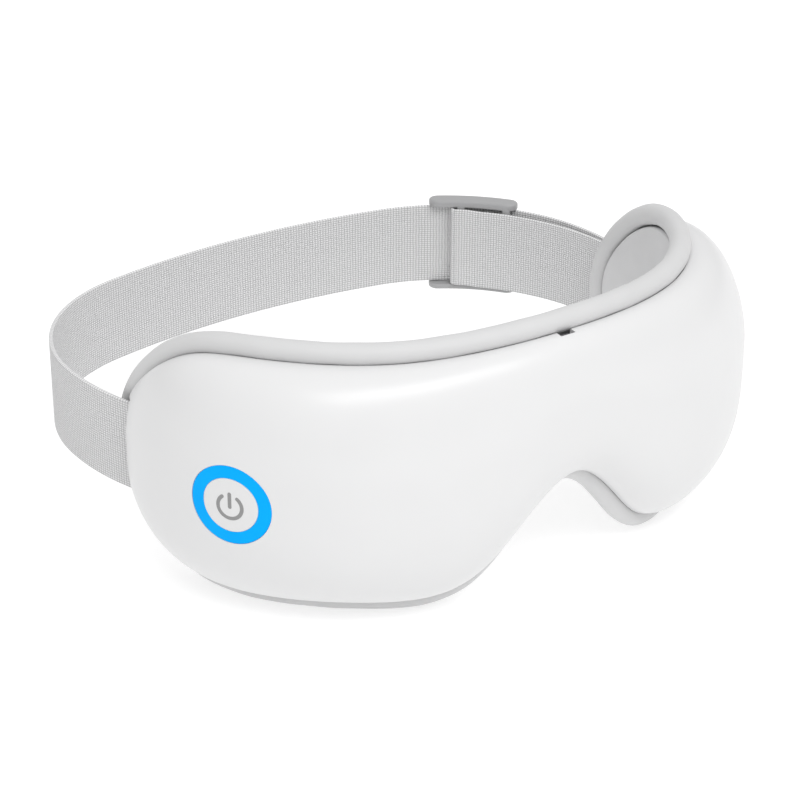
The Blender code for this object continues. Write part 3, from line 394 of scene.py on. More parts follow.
def skin(verts, faces, rim_ids, inset, rows, power, height):
    """Skin that closes one rim, its rows crowded towards the rim."""
    u, top, bottom = rim_loop(inset)
    end = reach(inset)
    spine_u = u * (1 - 0.25 * (np.abs(u) / end) ** 3)
    spine_top, spine_bottom = top_and_bottom(spine_u, inset)
    spine_z = spine_bottom + CROWN_SHARE * (spine_top - spine_bottom)
    count = len(u)
    top_ids, bottom_ids = rim_ids
    share = (np.arange(1, rows + 1) / rows) ** power
    grid = {}
    for name, z0 in (("top", top), ("bottom", bottom)):
        place_u = u[:, None] + (spine_u - u)[:, None] * share
        place_z = z0[:, None] + (spine_z - z0)[:, None] * share
        ids = np.zeros((count, rows + 1), int)
        ids[:, 0] = top_ids if name == "top" else bottom_ids
        points = wrap(place_u, place_z, height(place_u, place_z))
        for i in range(count):
            shared_tip = name == "bottom" and i in (0, count - 1)
            for j in range(1, rows + 1):
                if name == "bottom" and (shared_tip or j == rows):
                    ids[i, j] = grid["top"][i, j]
                    continue
                ids[i, j] = len(verts)
                verts.append(points[i, j - 1])
        grid[name] = ids
    for ids in grid.values():
        for i in range(count - 1):
            for j in range(rows):
                corners = (ids[i, j], ids[i + 1, j], ids[i + 1, j + 1], ids[i, j + 1])
                faces.append(tuple(int(c) for c in dict.fromkeys(corners)))


def lens_piece(name, rims, rows, power, back_height, front_height):
    """Piece between rims, listed as (inset, out) from the back face's edge to the front's."""
    verts, faces, loops, id_pairs = [], [], [], []
    for inset, out in rims:
        u, top, bottom = rim_loop(inset)
        start = len(verts)
        count = len(u)
        verts.extend(wrap(u, top, out))
        verts.extend(wrap(u[1:-1], bottom[1:-1], out + LAP_RISE * lower_lap(u[1:-1], inset)))
        top_ids = list(range(start, start + count))
        inner = list(range(start + count, start + 2 * count - 2))
        bottom_ids = [top_ids[0], *inner, top_ids[-1]]
        id_pairs.append((top_ids, bottom_ids))
        loops.append(top_ids + inner[::-1])
    for a, b in zip(loops, loops[1:]):
        for k in range(len(a)):
            m = (k + 1) % len(a)
            faces.append((a[k], a[m], b[m], b[k]))
    skin(verts, faces, id_pairs[0], rims[0][0], rows[0], power, back_height)
    skin(verts, faces, id_pairs[-1], rims[-1][0], rows[1], power, front_height)
    return make_piece(name, verts, faces)


def oval_cutter(name, side, outs, grow):
    turns = np.array(circle(1.0, PAD_SIDES))
    u = side * EYE_U + (EYE_RU + grow) * turns[:, 0]
    z = EYE_Z + (EYE_RZ + grow) * turns[:, 1]
    return stack_piece(name, [list(wrap(u, z, out)) for out in outs])


# ---- shell

def ring_frame():
    """Frame on the dome at the button: X and Z lie in the skin, Y points inwards."""
    step = 1.5

    def on_skin(u, z):
        return Vector(wrap(u, z, dome_out(np.float64(u), np.float64(z))))

    ahead, behind = on_skin(RING_U + step, RING_Z), on_skin(RING_U - step, RING_Z)
    above, below = on_skin(RING_U, RING_Z + step), on_skin(RING_U, RING_Z - step)
    inward = (above - below).cross(ahead - behind).normalized()
    side = inward.cross(Vector((0, 0, 1))).normalized()
    up = side.cross(inward)
    basis = Matrix((side, inward, up)).transposed().to_4x4()
    return Matrix.Translation(on_skin(RING_U, RING_Z)) @ basis


BUTTON = ring_frame()


def skin_points(xz, depth):
    """Points `depth` below the dome's skin, straight in from (x, z) of the button frame."""
    xz = np.asarray(xz, float)
    inward = np.array(BUTTON.col[1].to_3d())
    side = np.array(BUTTON.col[0].to_3d())
    up = np.array(BUTTON.col[2].to_3d())
    points = np.outer(xz[:, 0], side) + np.outer(xz[:, 1] * RING_FLATTEN, up)
    points = np.array(BUTTON.translation) + points
    for _ in range(8):
        u, out = unwrap(points)
        points = points + np.outer(out - dome_out(u, points[:, 2]), inward)
    return points + np.outer(np.broadcast_to(depth, len(points)), inward)


def build_shell():
    """Domed housing with its ring hole, brow notch, socket mouth and strap slots."""
    shell = lens_piece("front_shell_skin", SHELL_RIMS, SHELL_ROWS, SHELL_ROW_POWER,
                       lambda u, z: dome_out(u, z, WALL) + 0.1, dome_out)
    spin = BUTTON @ Matrix.Rotation(-pi / 2, 4, "X")
    bore = RING_RADIUS + RING_CLEARANCE
    flattened = spin @ Matrix.Diagonal((1, RING_FLATTEN, 1, 1))
    tools = [turned("ring_hole", flattened, ((bore, -6.0), (bore, 8.0)), BUTTON_SIDES)]
    half = NOTCH_WIDTH / 2
    tools.append(block("brow_notch", seat(NOTCH_U, 0, 0),
                       (-half, -NOTCH_OUT, NOTCH_FLOOR), (half, -1.0, ABOVE_SHELL)))
    half_x, half_y = MOUTH_HALVES
    tools.append(block("socket_mouth", seat(NOTCH_U, 0, MOUTH_OUT),
                       (-half_x, -half_y, MOUTH_LOW), (half_x, half_y, ABOVE_SHELL)))
    for side, mark in ((-1, "left"), (1, "right")):
        low_x, high_x = sorted(side * x for x in SLOT_ACROSS)
        place = Matrix.Translation((0, float(wrap(side * SLOT_U, 0, 0)[1]), 0))
        tools.append(block(f"slot_{mark}", place, (low_x, 0.0, STRAP_BOTTOM - SLOT_MARGIN),
                           (high_x, SLOT_DEPTH, STRAP_TOP + SLOT_MARGIN)))
    cut_all(shell, tools)
    return shell


# ---- roll and panel

def build_roll():
    """Padded tube round the whole edge, with the slight unevenness of filled soft skin."""
    count, sides = ROLL_LOOPS, ROLL_SIDES
    picks = CURVE[(np.arange(count) * OUTLINE_SAMPLES / count).astype(int)]
    along = np.roll(picks, -1, axis=0) - np.roll(picks, 1, axis=0)
    along /= np.hypot(along[:, 0], along[:, 1])[:, None]
    turns = 2 * pi * (np.arange(sides) + 0.5) / sides
    way = 2 * pi * np.arange(count) / count
    swell = sum(height * np.sin(way * waves + phase) for height, waves, phase in ROLL_RIPPLES)
    loops = []
    for k in range(count):
        radius = ROLL_RADIUS + swell[k] - ROLL_SLACK
        a, b = radius * np.cos(turns), radius * np.sin(turns)
        z = np.maximum(picks[k, 1] + along[k, 0] * b, 0.0)
        loops.append(list(wrap(picks[k, 0] - along[k, 1] * b, z, a)))
    return stack_piece("edge_roll", loops, closed=True, smooth_angle=60.0)


def build_panel():
    """Thin padded skin against the face, crowned a little, with a window for each eye pad."""
    (back_inset, back_out), front_out = PANEL_RIMS[0], PANEL_RIMS[-1][1]

    def crowned(u, z):
        top, bottom = top_and_bottom(u, back_inset)
        edge = np.minimum(top - z, z - bottom)
        return back_out - PANEL_CROWN * ease(edge / PANEL_CROWN_RUN)

    panel = lens_piece("face_panel_skin", PANEL_RIMS, PANEL_ROWS, PANEL_ROW_POWER,
                       crowned, lambda u, z: front_out + 0 * u)
    tools = [oval_cutter(f"window_{side}", side, (-6.0, 3.0), EYE_GAP) for side in (-1, 1)]
    cut_all(panel, tools)
    return panel


# ---- eye cushions

def pillow_mesh(name):
    """Closed oval pad in flat coordinates (u, z, out), ready to be blown up."""
    sides, rings = PAD_SIDES, PAD_RINGS
    radius_u, radius_z = EYE_RU - PAD_MARGIN, EYE_RZ - PAD_MARGIN
    verts, faces = [], []
    shares = [sin(pi / 2 * (k + 1) / rings) for k in range(rings)]

    def half_thickness(share):
        return PAD_HALF * max(1 - share**2.6, 0.0) ** 0.5

    for face in (-1, 1):
        start = len(verts)
        verts.append((0.0, 0.0, face * PAD_HALF))
        for share in shares[:-1]:
            for a, b in circle(share, sides):
                verts.append((radius_u * a, radius_z * b, face * half_thickness(share)))
        for k in range(sides):
            faces.append((start, start + 1 + k, start + 1 + (k + 1) % sides))
        for j in range(rings - 2):
            p, q = start + 1 + j * sides, start + 1 + (j + 1) * sides
            for k in range(sides):
                m = (k + 1) % sides
                faces.append((p + k, p + m, q + m, q + k))
    seam = len(verts)
    for a, b in circle(1.0, sides):
        verts.append((radius_u * a, radius_z * b, 0.0))
    layer = 1 + (rings - 1) * sides
    for face in (0, 1):
        p = face * layer + 1 + (rings - 2) * sides
        for k in range(sides):
            m = (k + 1) % sides
            faces.append((p + k, p + m, seam + m, seam + k))
    enlarged = [tuple(c * SIM_SCALE for c in vert) for vert in verts]
    item = make_piece(name, enlarged, faces, 180.0)
    group = item.vertex_groups.new(name="seam")
    group.add(list(range(seam, seam + sides)), 1.0, "REPLACE")
    return item


def positions(mesh):
    """Vertex positions of a mesh as rows of an array."""
    flat = np.zeros(len(mesh.vertices) * 3, np.float32)
    mesh.vertices.foreach_get("co", flat)
    return flat.reshape(-1, 3).astype(float)


def inflate(item, cap):
    """Cloth simulation with inner pressure; no point moves further than `cap` millimetres."""
    cloth = item.modifiers.new("cloth", "CLOTH")
    settings = cloth.settings
    settings.quality = 6
    settings.mass = 0.25
    settings.tension_stiffness = 14
    settings.compression_stiffness = 14
    settings.shear_stiffness = 6
    settings.bending_stiffness = 0.6
    settings.use_pressure = True
    settings.uniform_pressure_force = 4.0
    settings.vertex_group_mass = "seam"
    settings.effector_weights.gravity = 0.0
    cloth.collision_settings.use_collision = False
    cloth.point_cache.frame_start = 1
    cloth.point_cache.frame_end = SIM_FRAMES
    rest = positions(item.data)
    for number in range(1, SIM_FRAMES + 1):
        scene.frame_set(number)
    graph = bpy.context.evaluated_depsgraph_get()
    swollen = positions(item.evaluated_get(graph).data)
    item.modifiers.clear()
    scene.frame_set(1)
    move = swollen - rest
    size = np.linalg.norm(move, axis=1)
    limit = cap * MM * SIM_SCALE
    move *= np.minimum(1.0, limit / np.maximum(size, 1e-9))[:, None]
    item.data.vertices.foreach_set("co", (rest + move).astype(np.float32).ravel())
    item.data.update()


def piping_ring(radii, out, thickness, count=160, sides=10):
    """Round cord sewn along the seam of an eye pad, in flat coordinates."""
    verts, faces = [], []
    for k in range(count):
        t = 2 * pi * k / count
        centre = np.array([radii[0] * cos(t), radii[1] * sin(t)])
        normal = np.array([radii[1] * cos(t), radii[0] * sin(t)])
        normal /= np.hypot(*normal)
        lay = thickness * (1 + 0.03 * sin(t * CORD_STITCHES))
        for a, b in circle(lay, sides):
            verts.append((centre[0] + normal[0] * a, centre[1] + normal[1] * a, out + b))
    for k in range(count):
        for j in range(sides):
            i, m = (j + 1) % sides, (k + 1) % count
            faces.append((k * sides + j, k * sides + i, m * sides + i, m * sides + j))
    return verts, faces


def build_eye_cushion(side, mark):
    """Inflated oval cover with a piping cord round its seam, laid on the mask's curve."""
    pillow = pillow_mesh(f"eye_pad_{mark}_cover")
    inflate(pillow, PAD_SWELL)
    pillow.modifiers.new("fine", "SUBSURF").levels = 1
    apply_modifiers(pillow)
    flat = positions(pillow.data) / MM / SIM_SCALE
    low, high = flat[:, 2].min(), flat[:, 2].max()
    scaled = np.where(flat[:, 2] < 0, flat[:, 2] / -low * PAD_BACK, flat[:, 2] / high * PAD_FRONT)
    flat[:, 2] = scaled + PAD_MIDDLE
    verts = [tuple(v) for v in flat]
    faces = [tuple(p.vertices) for p in pillow.data.polygons]
    cord_radii = (EYE_RU - CORD_MARGIN, EYE_RZ - CORD_MARGIN)
    cord_verts, cord_faces = piping_ring(cord_radii, CORD_OUT, CORD_RADIUS)
    faces += [tuple(len(verts) + i for i in f) for f in cord_faces]
    verts += cord_verts
    v = np.array(verts)
    world = wrap(side * EYE_U + v[:, 0], EYE_Z + v[:, 1], v[:, 2])
    bpy.data.objects.remove(pillow, do_unlink=True)
    return make_piece(f"eye_pad_{mark}_cover", world, faces, 70.0)


# ---- button

def polar_skin(name, rows, sides=BUTTON_SIDES, cap_centre=None):
    """Turned piece that follows the dome; rows are (radius, depth), closed round or capped."""
    loops = [skin_points(circle(r, sides), d) for r, d in rows]
    verts = [v for loop in loops for v in loop]
    faces = []
    joins = len(rows) if cap_centre is None else len(rows) - 1
    for j in range(joins):
        a, b = j * sides, ((j + 1) % len(rows)) * sides
        for k in range(sides):
            m = (k + 1) % sides
            faces.append((a + k, a + m, b + m, b + k))
    if cap_centre is not None:
        for depth, row in zip(cap_centre, (0, len(rows) - 1)):
            tip = len(verts)
            verts.append(skin_points([(0.0, 0.0)], depth)[0])
            for k in range(sides):
                faces.append((tip, row * sides + k, row * sides + (k + 1) % sides))
    return make_piece(name, verts, faces, 50.0)


def build_ring():
    """Light guide round the button, flush with the shell."""
    outer, bore = RING_RADIUS + 0.2, RING_BORE - 0.06
    across = [(bore + (outer - bore) * t, SKIN_DEPTH) for t in np.linspace(0.04, 0.96, 9)]
    inner_edge = [(bore, RING_DEPTH), (bore, 0.16), (bore + EDGE_ROUND, 0.08)]
    outer_edge = [(outer - EDGE_ROUND, 0.08), (outer, 0.16), (outer, RING_DEPTH)]
    return polar_skin("light_ring_glow", inner_edge + across + outer_edge)


def build_cap():
    """Button that follows the dome, with a short skirt."""
    radius = RING_BORE - 0.14
    across = [(radius * t, SKIN_DEPTH) for t in np.linspace(0.08, 0.985, 14)]
    edge = [(radius - EDGE_ROUND, 0.08), (radius, 0.16), (radius, CAP_DEPTH), (0.5, CAP_DEPTH)]
    return polar_skin("button_face", across + edge, cap_centre=(SKIN_DEPTH, CAP_DEPTH))


def stroke(name, line, half, depths):
    """Thin inlaid stroke with round ends along a plane line of the button frame."""
    line = np.asarray(line, float)
    step = np.hypot(*np.diff(line, axis=0).T)
    gone = np.concatenate([[0.0], np.cumsum(step)])
    length = gone[-1]
    ends = half * (1 - np.cos(np.linspace(0.08, pi / 2, 9)))
    places = np.concatenate([ends, np.linspace(half, length - half, 40)[1:-1], length - ends[::-1]])
    x, y = np.interp(places, gone, line[:, 0]), np.interp(places, gone, line[:, 1])
    centre = np.column_stack([x, y])
    along = np.gradient(centre, axis=0)
    along /= np.hypot(along[:, 0], along[:, 1])[:, None]
    normal = np.column_stack([-along[:, 1], along[:, 0]])
    inside = np.minimum(np.minimum(places, length - places), half)
    width = np.sqrt(np.maximum(half**2 - (half - inside) ** 2, 1e-4))
    left, right = centre + normal * width[:, None], centre - normal * width[:, None]
    loops = []
    for k in range(len(places)):
        pair = [left[k], right[k]]
        top = skin_points(pair, depths[0])
        foot = skin_points(pair[::-1], depths[1])
        loops.append([*top, *foot])
    return stack_piece(name, loops)


def build_marks():
    """Arc and bar of the generic power symbol."""
    turns = np.linspace(radians(90 + MARK_GAP), radians(450 - MARK_GAP), 90)
    arc = np.column_stack([MARK_RADIUS * np.cos(turns), MARK_RADIUS * np.sin(turns) - MARK_DROP])
    bar = np.column_stack([np.zeros(20), np.linspace(MARK_BAR_LOW, MARK_BAR_HIGH, 20)])
    return (stroke("power_symbol_arc", arc, MARK_HALF, MARK_DEPTHS),
            stroke("power_symbol_bar", bar, MARK_HALF, MARK_DEPTHS))


# ---- strap

def strap_line(sign, step):
    """(distance, x, y, side, heading) along the strap from the back centre to one lobe."""
    line = [(0.0, 0.0, STRAP_BACK_Y, 0.0)]
    gone, x, y, turn = line[0]
    pieces = ((BACK_ARC, BACK_RADIUS), (CORNER_ARC, CORNER_RADIUS), (SIDE_ARC, SIDE_RADIUS),
              (MOUTH_ARC, MOUTH_RADIUS), (STRAP_TAIL, 1e9))
    for length, radius in pieces:
        count = max(2, round(length / step))
        for _ in range(count):
            part = length / count
            middle = turn - part / radius / 2
            x += part * cos(middle)
            y += part * sin(middle)
            turn -= part / radius
            gone += part
            line.append((gone, x, y, turn))
    return [(s, sign * px, py, sign, t) for s, px, py, t in line]


def spine_of(entry, shift):
    """Plan point and outward direction of the strap's line moved outwards by `shift`."""
    _, x, y, sign, turn = entry
    normal = np.array([-sign * sin(turn), cos(turn)])
    return np.array([x, y]) + normal * shift, normal


def webbing_section(half):
    """(height, thickness) points round the webbing's cross-section, with rounded edges."""
    top = STRAP_HALF_HEIGHT
    edge = [(top - half * 0.8 * (1 - cos(a)), half * sin(a)) for a in np.linspace(0, pi / 2, 5)]
    face = [(z, half) for z in np.linspace(top - 2.5, -top + 2.5, 7)]
    right = edge + face + [(-z, t) for z, t in edge[::-1]]
    return right + [(z, -t) for z, t in right[::-1][1:-1]]


def webbing_piece(name, spine, half):
    """Ribbon through (plan point, outward direction, distance, drop) entries, and its weave."""
    section = webbing_section(half)
    loops, weave = [], []
    for point, normal, gone, drop in spine:
        loop = []
        for height, depth in section:
            place = point + normal * depth
            loop.append(Vector((place[0], place[1], STRAP_MIDDLE + height - drop)))
            weave.append((gone, height, depth))
        loops.append(loop)
    item = stack_piece(name, loops, smooth_angle=60.0)
    store_weave(item, weave)
    return item, weave


def store_weave(item, weave):
    store = item.data.attributes.new("weave", "FLOAT_VECTOR", "POINT")
    store.data.foreach_set("vector", np.array(weave, np.float32).ravel())


def carry_weave(item, before, weave):
    """Give a cut ribbon the weave coordinates of the nearest points it had before the cut."""
    tree = kdtree.KDTree(len(before))
    for n, point in enumerate(before):
        tree.insert(point, n)
    tree.balance()
    if "weave" in item.data.attributes:
        item.data.attributes.remove(item.data.attributes["weave"])
    store_weave(item, [weave[tree.find(v.co)[1]] for v in item.data.vertices])


def pin_frame(side):
    """Frame of a strap rivet, its axis pointing away from the mask's middle."""
    x = abs(float(wrap(PIN_U, 0, 0)[0]))
    y = float(wrap(PIN_U, 0, PIN_OUT)[1])
    return Matrix.Translation((side * x, y, STRAP_MIDDLE)) @ Matrix.Rotation(side * pi / 2, 4, "Y")


def build_strap():
    """Webbing from lobe to lobe round the back, with an eyelet for each rivet."""
    spine = []
    for entry in strap_line(-1, 1.5)[::-1]:
        spine.append((*spine_of(entry, 0.0), -entry[0], 0.0))
    for entry in strap_line(1, 1.5)[1:]:
        spine.append((*spine_of(entry, 0.0), entry[0], 0.0))
    strap, weave = webbing_piece("head_strap_webbing", spine, STRAP_HALF)
    before = [v.co.copy() for v in strap.data.vertices]
    hole = ((EYELET_RADIUS, -6.0), (EYELET_RADIUS, 14.0))
    tools = [turned(f"eyelet_{side}", pin_frame(side), hole, 40) for side in (-1, 1)]
    cut_all(strap, tools)
    carry_weave(strap, before, weave)
    return strap


def return_start():
    """Distance along the strap at which the sewn return wraps the slider's centre bar."""
    return BACK_ARC + (SLIDER_ANGLE - BACK_ARC / BACK_RADIUS) * CORNER_RADIUS


def build_strap_return():
    """Second layer: sewn round the slider's centre bar, then back to the right lobe."""
    wrap_at = return_start() - RETURN_BEFORE
    line = [e for e in strap_line(1, 1.0) if wrap_at <= e[0] <= RETURN_END]
    bar_line = CORNER_RADIUS - BAR_RADIUS
    radius = BAR_THICKNESS / 2 + LAYER_GAP + STRAP_THICKNESS / 2
    near = bar_line + radius
    spine = []
    tail = [e for e in line if e[0] <= wrap_at + RETURN_TAIL]
    for entry in tail[::-1]:
        point, normal = spine_of(entry, -bar_line + radius)
        spine.append((point, -normal, wrap_at - (entry[0] - wrap_at) - 5.0, 0.0))
    start = line[0]
    tangent = np.array([cos(start[4]), sin(start[4])])
    for k in range(17, 0, -1):
        turn = pi * k / 18
        point, normal = spine_of(start, -bar_line - radius * cos(turn))
        point = point - tangent * radius * sin(turn)
        lay = normal * cos(turn) + tangent * sin(turn)
        spine.append((point, lay, wrap_at - radius * turn, 0.0))
    for entry in line:
        gone = entry[0] - wrap_at
        depth = near + (RETURN_FAR - near) * float(ease((gone - 24.0) / 60.0))
        point, normal = spine_of(entry, -depth)
        drop = RETURN_DROP * float(ease((gone - 3.0) / 8.0) - 0.6 * ease((gone - 30.0) / 50.0))
        spine.append((point, normal, entry[0], drop))
    return webbing_piece("strap_return_webbing", spine, RETURN_HALF)[0], spine


# ---- slider

def corner_centre():
    """Centre of the strap's right corner arc, which the slider follows."""
    turn = BACK_ARC / BACK_RADIUS
    x = BACK_RADIUS * sin(turn)
    y = STRAP_BACK_Y - BACK_RADIUS * (1 - cos(turn))
    return Vector((x - CORNER_RADIUS * sin(turn), y - CORNER_RADIUS * cos(turn), 0))


def polar(centre, radius, angle, z):
    return Vector((centre.x + radius * sin(angle), centre.y + radius * cos(angle), z))


def rail_piece(name, centre, start, size, way):
    """Rounded rail from `start` up or down: stadium plan along the strap's corner, rolled edges."""
    middle = (RAIL_INNER + RAIL_OUTER) / 2
    steps = [(0.5 * (1 - cos(a)), 0.5 * (1 - sin(a))) for a in np.linspace(0, pi / 2, 5)]
    steps += [(size - 0.85 * (1 - sin(a)), 0.85 * (1 - cos(a))) for a in np.linspace(0, pi / 2, 7)]
    loops = []
    for rise, shrink in steps:
        z = start + way * rise
        half_depth = (RAIL_OUTER - RAIL_INNER) / 2 - shrink
        half_length = SLIDER_LENGTH / 2 - shrink
        bend = [-pi / 2 + pi * k / 20 for k in range(21)]
        right = [(half_length - half_depth + half_depth * cos(t), half_depth * sin(t)) for t in bend]
        straight = half_length - half_depth
        top_run = [(straight * s, half_depth) for s in np.linspace(1, -1, 15)[1:-1]]
        left = [(-s, -r) for s, r in right]
        low_run = [(straight * s, -half_depth) for s in np.linspace(-1, 1, 15)[1:-1]]
        plan = right + top_run + left + low_run
        loops.append([polar(centre, middle + r, SLIDER_ANGLE + (s + SLIDER_SHIFT) / CORNER_RADIUS, z)
                      for s, r in plan])
    return stack_piece(name, loops)


def bar_piece(name, centre, radius, along, low, high):
    """Upright bar across the strap, its corners rounded in plan."""
    plan = []
    for quarter, (sr, ss) in enumerate(((1, 1), (-1, 1), (-1, -1), (1, -1))):
        for k in range(5):
            t = pi / 2 * (quarter + k / 4)
            r = sr * (BAR_THICKNESS / 2 - BAR_CORNER) + BAR_CORNER * cos(t)
            s = ss * (BAR_WIDTH / 2 - BAR_CORNER) + BAR_CORNER * sin(t)
            plan.append((r, s))
    loops = []
    for z in (low, high):
        loops.append([polar(centre, radius + r, SLIDER_ANGLE + (along + s) / CORNER_RADIUS, z)
                      for r, s in plan])
    return stack_piece(name, loops)


def build_slider():
    """Two rails joined by three bars that the webbing threads round."""
    centre = corner_centre()
    top, bottom = STRAP_TOP + RAIL_GAP, STRAP_BOTTOM - RAIL_GAP
    slider = rail_piece("slider_body", centre, top, RAIL_HEIGHT, 1)
    parts = [rail_piece("low_rail", centre, bottom, LOW_RAIL_HEIGHT, -1)]
    low, high = bottom - BAR_OVERLAP, top + BAR_OVERLAP
    for n, (radius, along) in enumerate(BARS):
        parts.append(bar_piece(f"bar_{n}", centre, radius, along, low, high))
    cut_all(slider, parts, "UNION")
    return slider


# ---- materials

class Nodes:
    """Small helper for wiring a material's nodes."""

    def __init__(self, name):
        self.material = bpy.data.materials.new(name)
        self.material.use_nodes = True
        self.tree = self.material.node_tree
        self.shader = self.tree.nodes["Principled BSDF"]
        self.place = self.tree.nodes.new("ShaderNodeTexCoord").outputs["Object"]

    def add(self, kind, inputs=(), **settings):
        node = self.tree.nodes.new(kind)
        for key, value in settings.items():
            setattr(node, key, value)
        for key, value in dict(inputs).items():
            if isinstance(value, bpy.types.NodeSocket):
                self.tree.links.new(value, node.inputs[key])
            else:
                node.inputs[key].default_value = value
        return node

    def noise(self, scale, detail=3.0, rough=0.5, vector=None):
        source = self.place if vector is None else vector
        made = self.add("ShaderNodeTexNoise", {"Vector": source, "Scale": scale, "Detail": detail,
                                               "Roughness": rough})
        return made.outputs["Fac"]

    def spread(self, value, low, high, start=0.3, end=0.7):
        made = self.add("ShaderNodeMapRange", {"Value": value, "From Min": start, "From Max": end,
                                               "To Min": low, "To Max": high})
        return made.outputs["Result"]

    def math(self, operation, a, b=0.0):
        return self.add("ShaderNodeMath", {0: a, 1: b}, operation=operation).outputs[0]

    def blend(self, share, a, b):
        made = self.add("ShaderNodeMix", {0: share, 6: a, 7: b}, data_type="RGBA")
        return made.outputs[2]

    def join(self, socket, value):
        self.tree.links.new(value, self.shader.inputs[socket])

    def bump(self, height, strength, distance):
        made = self.add("ShaderNodeBump", {"Height": height, "Strength": strength, "Distance": distance})
        self.join("Normal", made.outputs["Normal"])


def tinted(colour, factor):
    return (*[min(c * factor, 1.0) for c in colour], 1.0)


def moulded(name, colour, roughness, metallic=0.0, vary=0.015, grain=900.0, bump=0.05, depth=0.00004):
    """Moulded plastic, metal or rubber: slow shade drift, fine grain and uneven gloss."""
    n = Nodes(name)
    drift = n.spread(n.noise(45.0, 3.0), 0.0, 1.0)
    n.join("Base Color", n.blend(drift, tinted(colour, 1 - vary), tinted(colour, 1 + vary)))
    n.join("Roughness", n.spread(n.noise(260.0, 4.0), roughness * 0.92, roughness * 1.08))
    n.shader.inputs["Metallic"].default_value = metallic
    n.bump(n.noise(grain, 5.0, 0.6), bump, depth)
    return n.material


def soft_skin(name, colour, roughness, pebble=1500.0, bump=0.25, vary=0.03, sheen=0.1):
    """Coated soft skin over foam: pebbled grain with slow creases."""
    n = Nodes(name)
    drift = n.spread(n.noise(70.0, 4.0), 0.0, 1.0)
    n.join("Base Color", n.blend(drift, tinted(colour, 1 - vary), tinted(colour, 1 + vary)))
    cells = n.add("ShaderNodeTexVoronoi", {"Vector": n.place, "Scale": pebble}, feature="SMOOTH_F1")
    grain = n.math("ADD", n.math("MULTIPLY", cells.outputs["Distance"], 0.7), n.noise(420.0, 3.0))
    n.join("Roughness", n.spread(n.noise(300.0, 3.0), roughness * 0.93, roughness * 1.06))
    n.shader.inputs["Sheen Weight"].default_value = sheen
    n.bump(grain, bump, 0.00008)
    return n.material


def webbing(name, colour):
    """Woven elastic: courses across the height and columns along the length; its colour holds painted shade
    between the threads and painted highlight on their crests.
    """
    column_pitch, course_pitch = 1.1, 0.8
    n = Nodes(name)
    weave = n.add("ShaderNodeAttribute", attribute_name="weave").outputs["Vector"]
    parts = n.add("ShaderNodeSeparateXYZ", {0: weave})
    wander = n.math("MULTIPLY", n.math("SUBTRACT", n.noise(0.35, 2.0, 0.5, weave), 0.5), 0.5)
    along = n.math("MULTIPLY", n.math("ADD", parts.outputs["X"], wander), pi / column_pitch)
    up = n.math("MULTIPLY", parts.outputs["Y"], pi / course_pitch)
    columns = n.math("ABSOLUTE", n.math("SINE", along))
    courses = n.math("ABSOLUTE", n.math("SINE", up))
    knots = n.math("POWER", n.math("MULTIPLY", columns, courses), 0.7)
    fibre = n.noise(5.0, 3.0, 0.6, weave)
    height = n.math("ADD", n.math("MULTIPLY", knots, 0.8), n.math("MULTIPLY", fibre, 0.35))
    # base colour: painted highlight on the knot crests and painted shade in the gaps between threads, plus
    # random fibre tone
    shade = n.math("ADD", n.math("MULTIPLY", knots, 0.75), n.math("MULTIPLY", fibre, 0.3))
    n.join("Base Color", n.blend(shade, tinted(colour, 0.5), tinted(colour, 1.2)))
    n.join("Roughness", n.spread(fibre, 0.78, 0.95))
    n.shader.inputs["Sheen Weight"].default_value = 0.15
    n.bump(height, 0.9, 0.0003)
    return n.material


def glowing(name, colour, strength):
    """Light guide: even glow with a faint drift under a satin skin."""
    n = Nodes(name)
    drift = n.spread(n.noise(120.0, 2.0), 0.0, 1.0)
    shade = n.blend(drift, tinted(colour, 0.97), tinted(colour, 1.03))
    n.join("Base Color", shade)
    n.join("Emission Color", shade)
    n.shader.inputs["Emission Strength"].default_value = strength
    n.shader.inputs["Specular IOR Level"].default_value = 0.05
    n.join("Roughness", n.spread(n.noise(300.0, 3.0), 0.42, 0.5))
    n.bump(n.noise(1200.0, 3.0), 0.03, 0.00003)
    return n.material


def circuit_board(name):
    """Green solder mask with paler copper runs under it."""
    n = Nodes(name)
    cells = n.add("ShaderNodeTexVoronoi", {"Vector": n.place, "Scale": 420.0}, feature="F1",
                  distance="MANHATTAN")
    runs = n.math("GREATER_THAN", cells.outputs["Distance"], 0.55)
    n.join("Base Color", n.blend(runs, (0.02, 0.13, 0.06, 1.0), (0.05, 0.26, 0.12, 1.0)))
    n.join("Roughness", n.spread(n.noise(400.0), 0.35, 0.5))
    n.bump(cells.outputs["Distance"], 0.2, 0.0001)
    return n.material


